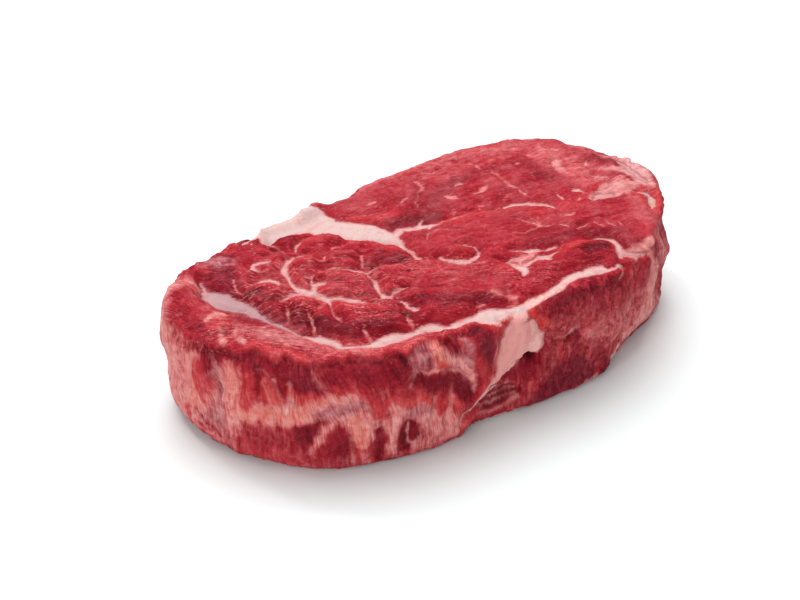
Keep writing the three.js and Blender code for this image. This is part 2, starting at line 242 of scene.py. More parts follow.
CUT_STRANDS = (
    Strand("broad far seam", ((-45, 26.2, 0.7), (-41, 27, 2), (-35, 28.5, 4), (-28, 28, 4.5),
        (-22.5, 27, 4.6), (-21, 22, 4.2), (-16.5, 18, 3.7), (-11, 13.5, 3.8), (-6.8, 10.2, 3.1),
        (-4.8, 6.8, 1.4), (-4.3, 3.5, 0.6), (-3.6, 0.8, 0.5), (-3, -1.4, 0.9), (-2.9, -2.6, 0.3))),
    Strand("twig of the far seam", ((-26, 19.8, 0.7), (-29, 19.6, 0.6), (-31.5, 18.3, 0.6),
        (-33.3, 15.3, 0.4))),
    Strand("strap seam", ((-4, 11.5, 1), (-1, 12, 0.8), (2, 11.2, 0.7), (4, 11.5, 1), (6, 11, 1),
        (9.3, 10.6, 0.3))),
    Strand("upper barb", ((4.2, 12, 0.7), (5.5, 14.3, 0.3))),
    Strand("lower barb", ((6.3, 10.4, 0.9), (6, 8.6, 0.3))),
    Strand("white bar", ((30.3, 9.6, 0.5), (32, 9.6, 0.8), (34, 8.8, 0.7), (37, 7.8, 0.7), (39.5, 6.6, 0.6),
        (42, 5.4, 0.7), (43.5, 4, 0.4))),
    Strand("wedge", ((-62.9, 10, 1.2), (-62, 6.8, 2.6), (-59.7, 2.8, 3.3), (-57.2, -0.4, 2.6),
        (-54.7, -3.4, 1.4), (-53, -8, 0.8), (-50.5, -12, 0.6), (-48, -16, 0.6), (-46.3, -19, 0.6),
        (-44.5, -21, 0.7), (-42.8, -22.8, 1.4), (-41.3, -24, 1.4), (-39.3, -26.3, 1.2), (-38.5, -28.3, 1.2),
        (-36, -29.8, 1), (-33, -30.8, 0.9))),
    Strand("wedge hook", ((-62.8, 10, 0.5), (-62, 13, 0.5), (-62, 15, 0.2))),
    Strand("near seam", ((-33, -30.8, 0.9), (-29, -31.6, 1.6), (-25, -31.7, 1.6), (-20, -31.3, 1.1),
        (-15, -31.1, 1.1), (-11.5, -32, 1.3), (-7.5, -33, 1.3), (-4, -32.6, 1), (-1, -32.8, 1.3),
        (2, -33.2, 2.4), (6, -33.6, 2.7), (10, -34, 2.6), (14, -33.8, 1.8), (18, -33, 1.6), (22, -31.6, 1.5),
        (26, -30.2, 1.5), (30, -28.6, 1.5), (34, -27.7, 1.6), (38, -27.8, 1.7), (41.5, -28.2, 1.8),
        (43.3, -29, 0.9))),
    Strand("end of the near seam", ((43.3, -29, 0.8), (45, -29.2, 0.7), (47, -29, 0.9), (48.2, -29.8, 0.6))),
    Strand("neck of the tongue", ((12, -35, 2.4), (12.4, -37, 1.8), (12.8, -39, 1.6))),
    Strand("scallops", ((0.5, -35, 0.9), (3.8, -36, 1), (5, -37.5, 0.5))),
    Strand("ring", ((44.6, -14.8, 0.4), (46.4, -14.9, 0.9), (48.6, -15.9, 0.9), (50.2, -17.8, 0.9),
        (51, -20.4, 1.2), (50.8, -23, 1.6), (49, -25.4, 0.7))),
    Strand("ring wedge", ((51.2, -23, 1.2), (53.4, -24.8, 0.9), (57, -25.4, 0.6), (60, -25, 0.2))),
    Strand("inner spur", ((19, -15.3, 0.4), (20.8, -17, 1.3), (21.7, -18.8, 1.6), (20.5, -21.4, 0.8))),
    Strand("branch of the spur", ((21.5, -17.3, 1.1), (25, -17, 0.5), (27.5, -16.2, 0.8), (29.7, -16.8, 1.2),
        (30.3, -18, 0.7))),
    Strand("tip of the spur", ((30, -16.4, 0.7), (33.8, -16.4, 0.3))),
    Strand("upper spur", ((18.5, -14.2, 0.3), (20.5, -13.8, 0.4), (23, -14.4, 0.6))),
    Strand("upper twig", ((22, -10.5, 0.3), (24.5, -11.2, 0.4), (26.8, -12.3, 1.1), (27.6, -11.8, 0.8),
        (30, -13.2, 0.4))),
    Strand("twig beside it", ((24.6, -13.8, 0.3), (27, -13, 0.4), (30, -13.4, 0.3), (34.3, -14, 0.6))),
    Strand("curl", ((1.6, -5.1, 0.2), (3.1, -7.2, 0.6), (6, -8.9, 0.9), (9.1, -9.8, 0.9), (12, -9.3, 0.55),
        (13.4, -7.8, 0.4), (12.9, -5.2, 0.3), (11, -3.1, 0.3), (8.7, -1.4, 0.15))),
    Strand("cap hook", ((-41.5, 13.8, 0.4), (-44, 14.5, 0.6), (-46.2, 14.2, 0.8), (-47.5, 12.7, 0.9),
        (-46.8, 10.7, 0.4))),
    Strand("cap blotch", ((-49, 7, 0.3), (-47, 6.3, 0.8), (-45.3, 5.8, 1), (-44.3, 4.2, 0.9),
        (-43.5, 2.3, 0.4))),
    Strand("cap net", ((-35.2, 12.6, 0.5), (-37.5, 11.3, 0.7), (-39.3, 9, 0.9), (-40.3, 7, 0.8),
        (-40.6, 4.5, 0.7), (-40.8, 2, 0.6), (-40.7, 0, 0.8), (-40.3, -2.5, 1.3), (-38.5, -4.5, 1.5),
        (-37, -6.5, 1.3), (-35.5, -8.3, 1.2), (-34.7, -10.5, 1), (-34.8, -12.5, 0.5))),
    Strand("root of the cap net", ((-35.2, 12.6, 0.4), (-33.2, 12.8, 0.4), (-31, 12.4, 0.3))),
    Strand("cap net right", ((-34.5, -9.5, 1), (-31, -10.7, 0.8), (-29, -12.5, 0.8), (-27, -14.2, 0.9),
        (-25, -16, 0.5), (-22.5, -18.2, 0.25))),
    Strand("cap knot", ((-36.5, -4.5, 1), (-35, -2.6, 0.8), (-33.3, -3.2, 0.7), (-32, -3.4, 0.3))),
    Strand("cap twig", ((-35, -2, 0.4), (-34.8, 0.3, 0.3), (-35.8, 2.5, 0.3), (-36.4, 4, 0.4))),
    Strand("cap arch", ((-35, 1.2, 0.3), (-32.5, 2, 0.35), (-30, 2.8, 0.3), (-27.5, 2.7, 0.3),
        (-25.5, 1.4, 0.35), (-23.5, 0, 0.4), (-22, -0.8, 0.5), (-20.5, -1.8, 0.9), (-19.7, -3.3, 0.6),
        (-19.5, -5, 0.4), (-19.2, -7, 0.4), (-19.3, -9, 1), (-20, -11, 0.6), (-20.3, -13, 0.5),
        (-20.3, -15, 0.8), (-18.8, -16.3, 0.8), (-17, -15.5, 0.4), (-14, -14.5, 0.3), (-10.5, -13.7, 0.2))),
    Strand("arch twig", ((-20.3, -2, 0.6), (-18.8, -3, 0.4), (-17, -1.8, 0.3), (-14.5, -0.3, 0.15))),
    Strand("lower twig", ((-16.5, -19, 0.5), (-15.4, -21, 0.6), (-15.3, -23, 0.5), (-14.5, -24.3, 0.8),
        (-13.3, -24.5, 0.4))),
    Strand("left twig", ((-45.5, -4, 0.3), (-43, -3.5, 0.5), (-41, -4, 0.6))),
    Strand("corner rim", ((71.2, 15.4, 0.4), (72.4, 11.4, 0.7), (73, 7, 0.9), (73.6, 3.6, 0.5))),
    Strand("thin arm", ((60.2, 11.7, 0.3), (62.3, 10.6, 0.45), (63.8, 9.1, 0.2))),
    Strand("end patch", ((55.2, 1.9, 0.5), (57, 2.2, 1.3), (59, 2.2, 1.2), (61, 1.6, 0.5))),
    Strand("peach knob", ((69.6, -0.4, 0.5), (71.4, -2, 0.8), (71.8, -4.2, 1.1), (70.4, -6.6, 1),
        (69.6, -8.2, 0.4))),
    Strand("white blob", ((52.1, 9, 0.6), (53.2, 8.1, 0.9), (54.4, 6.9, 0.4))),
    Strand("small blob", ((47.3, 8.5, 0.3), (47.8, 7, 0.5), (47.2, 5.8, 0.4))),
)

CUT_STROKES = (
    Stroke("sheen of the loin eye", Paint.ROSE, ((10, 33, 5), (30, 32, 6), (50, 28, 8), (60, 22, 7)), 0.4),
    Stroke("pale far rim", Paint.ROSE, ((-8, 36, 2), (10, 38.4, 2), (30, 39, 2), (46, 36.4, 2)), 0.6),
    Stroke("dark foot of the loin eye", Paint.DARK, ((-4, 15, 0.8), (2, 14.6, 1.1), (7, 13.6, 0.9),
        (10, 13, 0.5)), 0.9),
    Stroke("shade over it", Paint.CRIMSON, ((2, 18, 1.6), (9, 18, 1.8), (14, 20, 1)), 0.6),
    Stroke("red belly of the loin eye", Paint.BRIGHT, ((-13, 20.5, 1.4), (-7, 18.5, 1.6), (-2, 18.5, 1.6)),
        0.6),
    Stroke("dark line of the loin eye", Paint.CRIMSON, ((10, 25, 1), (20, 24, 1.2), (30, 27, 1.5),
        (46, 26, 2)), 0.6),
    Stroke("dark patch right", Paint.CRIMSON, ((46, 21, 2), (48, 17, 2)), 0.8),
    Stroke("film of the corner", Paint.FILM, ((67, 20.2, 0.6), (71.6, 15.8, 2.2), (73.2, 10.4, 3.2),
        (73.6, 5, 3), (73.6, 1.4, 1.2))),
    Stroke("film inside the corner", Paint.FILM, ((60, 4.4, 1.2), (64.4, 4, 1.8), (69, 4.4, 2.2),
        (71.6, 8.4, 2)), 0.75),
    Stroke("film of the arm", Paint.FILM, ((63.4, 14.2, 0.4), (66.9, 12.8, 0.8), (70, 11, 1.6)), 0.95),
    Stroke("film of the end patch", Paint.FILM, ((55.6, 2.4, 1.1), (60.5, 2.2, 2.4), (64.4, 2, 2.8),
        (67.5, 4, 3), (69.6, 7.4, 2.6)), 0.9),
    Stroke("red patch at the corner", Paint.CRIMSON, ((64.8, 19.6, 1.2), (68.4, 16.8, 1.4),
        (70.4, 14.2, 0.6)), 0.95),
    Stroke("second red patch", Paint.RED, ((61.2, 13.8, 0.5), (63.2, 12.4, 0.7), (64.4, 10.8, 0.4)), 0.8),
    Stroke("island in the end patch", Paint.ROSE, ((64.8, 8, 0.8), (67.4, 7, 1.2)), 0.85),
    Stroke("rim of the island", Paint.CRIMSON, ((63.4, 9, 0.3), (65.7, 9.9, 0.45), (68.2, 9, 0.5),
        (69.8, 7, 0.45), (69.4, 4.8, 0.2)), 0.95),
    Stroke("haze by the corner", Paint.ROSE, ((52, 27, 3), (56, 20, 3), (58, 11, 2.5)), 0.7),
    Stroke("haze of the narrow end", Paint.ROSE, ((66, -4, 2), (64, -12, 2.5), (69, -1, 2)), 0.6),
    Stroke("mark by the corner", Paint.FILM, ((54.4, 23.6, 0.4), (53.4, 21, 0.7), (53.6, 17.4, 0.4)), 0.8),
    Stroke("red by the knob", Paint.ORANGE, ((68, -1, 0.4), (67.8, -5, 0.6), (69, -8.8, 0.7),
        (73.4, -5, 0.6), (74.6, -1.5, 0.4)), 0.7),
    Stroke("film of the ring wedge", Paint.FILM, ((50.4, -23.6, 1.6), (54, -24.8, 2.6), (58.2, -24.8, 2.8),
        (62, -23, 2)), 0.95),
    Stroke("salmon of the ring wedge", Paint.SALMON, ((56, -24.4, 0.5), (60, -23.6, 1.2), (63, -22, 1)),
        0.5),
    Stroke("bright strap", Paint.BRIGHT, ((12, 8.5, 1.4), (20, 8.5, 1.6), (28, 7, 2), (34, 4.5, 1.5),
        (46, 2, 2)), 0.7),
    Stroke("dark strap", Paint.CRIMSON, ((30, -9, 3), (38, -9, 3.4), (46, -11, 2.5), (55, -18.5, 3)), 0.7),
    Stroke("rosy strap", Paint.ROSE, ((-1, -10, 2.5), (3, -12, 3.5), (0, -16, 2)), 0.45),
    Stroke("curl muscle", Paint.BRIGHT, ((7, -6, 1.6), (10, -6.4, 1.4)), 0.6),
    Stroke("button", Paint.PIT, ((40.6, -21.4, 1.2), (44.6, -20.8, 1.7), (47.4, -21, 1.1)), 0.75),
    Stroke("bright top of the button", Paint.BRIGHT, ((34, -17.6, 0.9), (40, -17, 1), (46, -16.8, 0.8),
        (49.2, -19, 0.7), (49.4, -22, 0.6)), 0.9),
    Stroke("bright by the spur", Paint.BRIGHT, ((15.5, -17.5, 1.5), (17.5, -18.5, 1.5)), 0.7),
    Stroke("dark by the near seam", Paint.DARK, ((-46, -13, 1.6), (-40, -19.7, 2.4), (-32, -24, 2),
        (-24, -26.5, 1.8)), 0.75),
    Stroke("dark by the near seam right", Paint.DARK, ((-11, -22.5, 1.2), (-5, -26, 1.6), (2, -26, 1.6),
        (10, -29, 1)), 0.6),
    Stroke("web of the net", Paint.ROSE, ((-39.5, 10, 1), (-41, 2, 1), (-38, -5, 1.4), (-31, -11, 1),
        (-24, -15.5, 1)), 0.6),
    Stroke("web of the arch", Paint.ROSE, ((-34, 1.5, 0.6), (-26, 2, 0.6), (-20.5, -2.5, 1), (-20, -11, 0.8),
        (-16, -15.5, 0.6)), 0.6),
    Stroke("web of the blotch", Paint.ROSE, ((-47, 12, 1), (-45, 5, 1), (-45, -3.5, 0.8)), 0.5),
    # Raised bundles painted lighter, as painted light on their tops; the dark strokes named shade among them
    # are painted shade below the bundles.
    Stroke("bundle by the nub", Paint.BUNDLE, ((-31, 15.2, 1), (-26, 15, 1.2), (-20.8, 14.6, 0.9))),
    Stroke("bundle inside the net", Paint.BUNDLE, ((-36.3, 7.4, 0.8), (-31.2, 7.6, 1.1), (-26.4, 6.9, 0.7))),
    Stroke("small bundle", Paint.BUNDLE, ((-38.3, 3.6, 0.5), (-37.6, 0, 0.8), (-37.2, -2.2, 0.5))),
    Stroke("great bundle", Paint.BUNDLE, ((-32.4, -1, 0.8), (-27.7, -3.4, 1.5), (-22, -8.3, 1))),
    Stroke("shade of the great bundle", Paint.DARK, ((-29.1, 0.5, 0.3), (-25, -1.4, 0.5), (-22, -5, 0.4)),
        0.7),
    Stroke("low bundle", Paint.BUNDLE, ((-34.8, -6.4, 0.4), (-31.6, -8.2, 0.7), (-28.4, -9.8, 0.3))),
    Stroke("bundle under the net", Paint.BUNDLE, ((-45.4, -6.8, 0.6), (-41.2, -9.6, 1.2),
        (-36.3, -11.9, 0.6))),
    Stroke("shade of that bundle", Paint.DARK, ((-46.4, -10.6, 0.3), (-42.4, -13.2, 0.5),
        (-40.4, -13.9, 0.3)), 0.8),
    Stroke("low dark bundle", Paint.BUNDLE, ((-40.8, -15.4, 0.6), (-37, -16.2, 0.8)), 0.6),
    Stroke("bundle below the knot", Paint.BUNDLE, ((-33.4, -13.8, 0.4), (-31.6, -17, 0.9),
        (-29.8, -18.9, 0.6)), 0.8),
    Stroke("speckled bundle", Paint.BUNDLE, ((-28, -17.7, 0.8), (-23.8, -19, 1.1), (-21.8, -21.6, 0.6)),
        0.7),
    Stroke("right bundle", Paint.BUNDLE, ((-17.6, -5.4, 0.5), (-14.4, -5.2, 0.9), (-11.4, -6, 0.7)), 0.8),
    Stroke("low right bundle", Paint.BUNDLE, ((-18.4, -13.6, 0.3), (-15.2, -14.4, 0.6)), 0.9),
    Stroke("left bundle", Paint.BUNDLE, ((-49, 2.2, 0.5), (-46.7, 0.4, 0.8), (-46, -0.9, 0.4)), 0.8),
    Stroke("left bundle by the net", Paint.BUNDLE, ((-44.4, -1.2, 0.4), (-42.2, -2.3, 0.6)), 0.8),
    Stroke("upper bundle", Paint.BUNDLE, ((-26.7, 3.9, 0.4), (-20.8, 1.6, 0.7), (-16, 1.4, 0.5)), 0.6),
    Stroke("red nub", Paint.BRIGHT, ((-30, 21.8, 1.2), (-27.5, 22, 1.2)), 0.7),
    Stroke("bright shore", Paint.BRIGHT, ((-17, 10.5, 1), (-12, 7, 1), (-6, 2.5, 1.2), (-5, 0, 1)), 0.6),
    Stroke("dark middle", Paint.DARK, ((-18, 1, 1.2), (-13, -1.5, 1.8), (-9, -3, 1.4)), 0.75),
    # A dip in the far left corner, painted dark purple: painted shade in the dip.
    Stroke("far hollow", Paint.PURPLE, ((-60, 13, 2), (-57, 9, 2.5), (-56, 16, 2.5), (-53, 20, 2)), 0.9),
    Stroke("far hollow shade", Paint.DARK, ((-59, 11, 1.2), (-56.5, 6, 1.2), (-52, 1, 1.5), (-48, -3, 2),
        (-46, -9, 2)), 0.6),
    Stroke("grey film of the hollow", Paint.LILAC, ((-60, 20.6, 1.2), (-55, 20, 1.8), (-52, 17, 0.8)), 0.7),
    Stroke("film left of the wedge", Paint.BLUSH, ((-71, 13, 1.6), (-67, 13.6, 2.2), (-64.4, 10.4, 1.2)),
        0.6),
    Stroke("far corner", Paint.CRIMSON, ((-40, 22.5, 1.5), (-34, 19.5, 2)), 0.7),
    Stroke("far corner red", Paint.CRIMSON, ((-46, 21.5, 1.5), (-42, 22.5, 1)), 0.7),
    Stroke("blunt end haze", Paint.FILM, ((-77, -1, 0.8), (-75.6, 6, 1.2), (-73, 12, 1.4), (-69, 18, 1)),
        0.6),
    Stroke("blunt end red", Paint.RED, ((-70, 4, 1), (-67, 0.5, 1.3), (-64.5, 1, 0.5)), 0.9),
    Stroke("knob", Paint.BRIGHT, ((-67, -6, 1.2), (-64.6, -7.4, 1.1))),
    Stroke("knob rim", Paint.FILM, ((-67.6, -4.2, 0.3), (-65.4, -3.2, 0.5), (-63, -4.2, 0.4)), 0.9),
    Stroke("first pale prong", Paint.FILM, ((-65.6, -9.8, 0.2), (-66.4, -12, 0.4), (-66.6, -14.2, 0.3)),
        0.8),
    Stroke("second pale prong", Paint.FILM, ((-62.4, -10.6, 0.2), (-63.2, -13.6, 0.35), (-62.4, -17.6, 0.4),
        (-61.2, -20, 0.1)), 0.75),
    # A sunk pit painted near black: painted shade in the pit.
    Stroke("dark pit", Paint.SHADED_HOLLOW, ((-65, -9.6, 0.3), (-64.8, -11.6, 0.4)), 0.8),
    Stroke("blunt shade", Paint.CRIMSON, ((-71, -6, 1), (-69.5, -12, 1.2)), 0.7),
    Stroke("band under the wedge", Paint.CRIMSON, ((-58, -8, 2.4), (-54, -13, 2.4)), 0.7),
    Stroke("band haze", Paint.ROSE, ((-56, -17, 2), (-50, -22, 2.6), (-42, -28, 2.4), (-34, -33, 1.4),
        (-20, -34.5, 1)), 0.85),
    Stroke("band lilac", Paint.LILAC, ((-60, -13, 1), (-55, -18, 1.2), (-50, -24, 1)), 0.5),
    Stroke("peach of the far rim", Paint.PEACH, ((-46, 27.5, 1), (-41, 29.5, 2), (-33, 32, 2))),
    Stroke("film round the wedge", Paint.LILAC, ((-61.4, 4, 2.6), (-57, -3, 2.6), (-52.5, -9.6, 1.4),
        (-47, -18, 1.2)), 0.6),
    Stroke("cool wedge", Paint.COOL, ((-63, 8, 2), (-60, 2, 3.4), (-55, -4, 2), (-50, -12, 1))),
    Stroke("haze of the blunt end", Paint.ROSE, ((-66, 6, 2), (-66, -3, 2), (-62, -12, 2)), 0.5),
    Stroke("hump of the far seam", Paint.HUMP, ((-40, 27.6, 0.6), (-34, 30.2, 1.4), (-23, 32.4, 1.2)), 1.25),
    Stroke("dip left of the hump", Paint.SINK, ((-52, 25.6, 0.6), (-58, 24, 0.8)), 1.1),
    Stroke("dip right of the hump", Paint.SINK, ((-15, 34, 0.6), (-9, 35, 0.6)), 1.0),
    Stroke("film by the spur", Paint.BLUSH, ((19, -15.6, 0.4), (22, -15.6, 0.9), (26.5, -14, 0.9)), 0.8),
    Stroke("film by the near seam", Paint.BLUSH, ((8, -26.4, 0.3), (10.6, -27.4, 0.5), (12.4, -29, 0.5),
        (12.6, -30.6, 0.3)), 0.6),
    Stroke("high far rim", Paint.SWELL, ((27, 39.4, 0.4), (46, 38.6, 0.6)), 0.6),
    Stroke("high blunt end", Paint.SWELL, ((-77, 5, 0.6), (-71, 14.6, 0.6)), 1.0),
    Stroke("high narrow corner", Paint.HUMP, ((75, 13, 0.6), (77, 5, 0.6)), 0.25),
    Stroke("low narrow corner", Paint.SINK, ((63, 31, 0.6), (67, 27.6, 1), (71.5, 22, 1)), 2.0),
    Stroke("low narrow rim", Paint.SINK, ((75, -4, 0.6), (69, -15, 0.6)), 1.6),
    Stroke("rim fringe", Paint.BRIGHT, ((-61, -20, 0.8), (-56, -26, 1), (-50, -32, 1), (-44, -35.4, 0.8),
        (-35, -37.4, 0.8), (-25, -38.6, 1), (-15, -39.4, 1), (-5, -39, 1.2), (3, -38.6, 1.2)), 0.95),
)

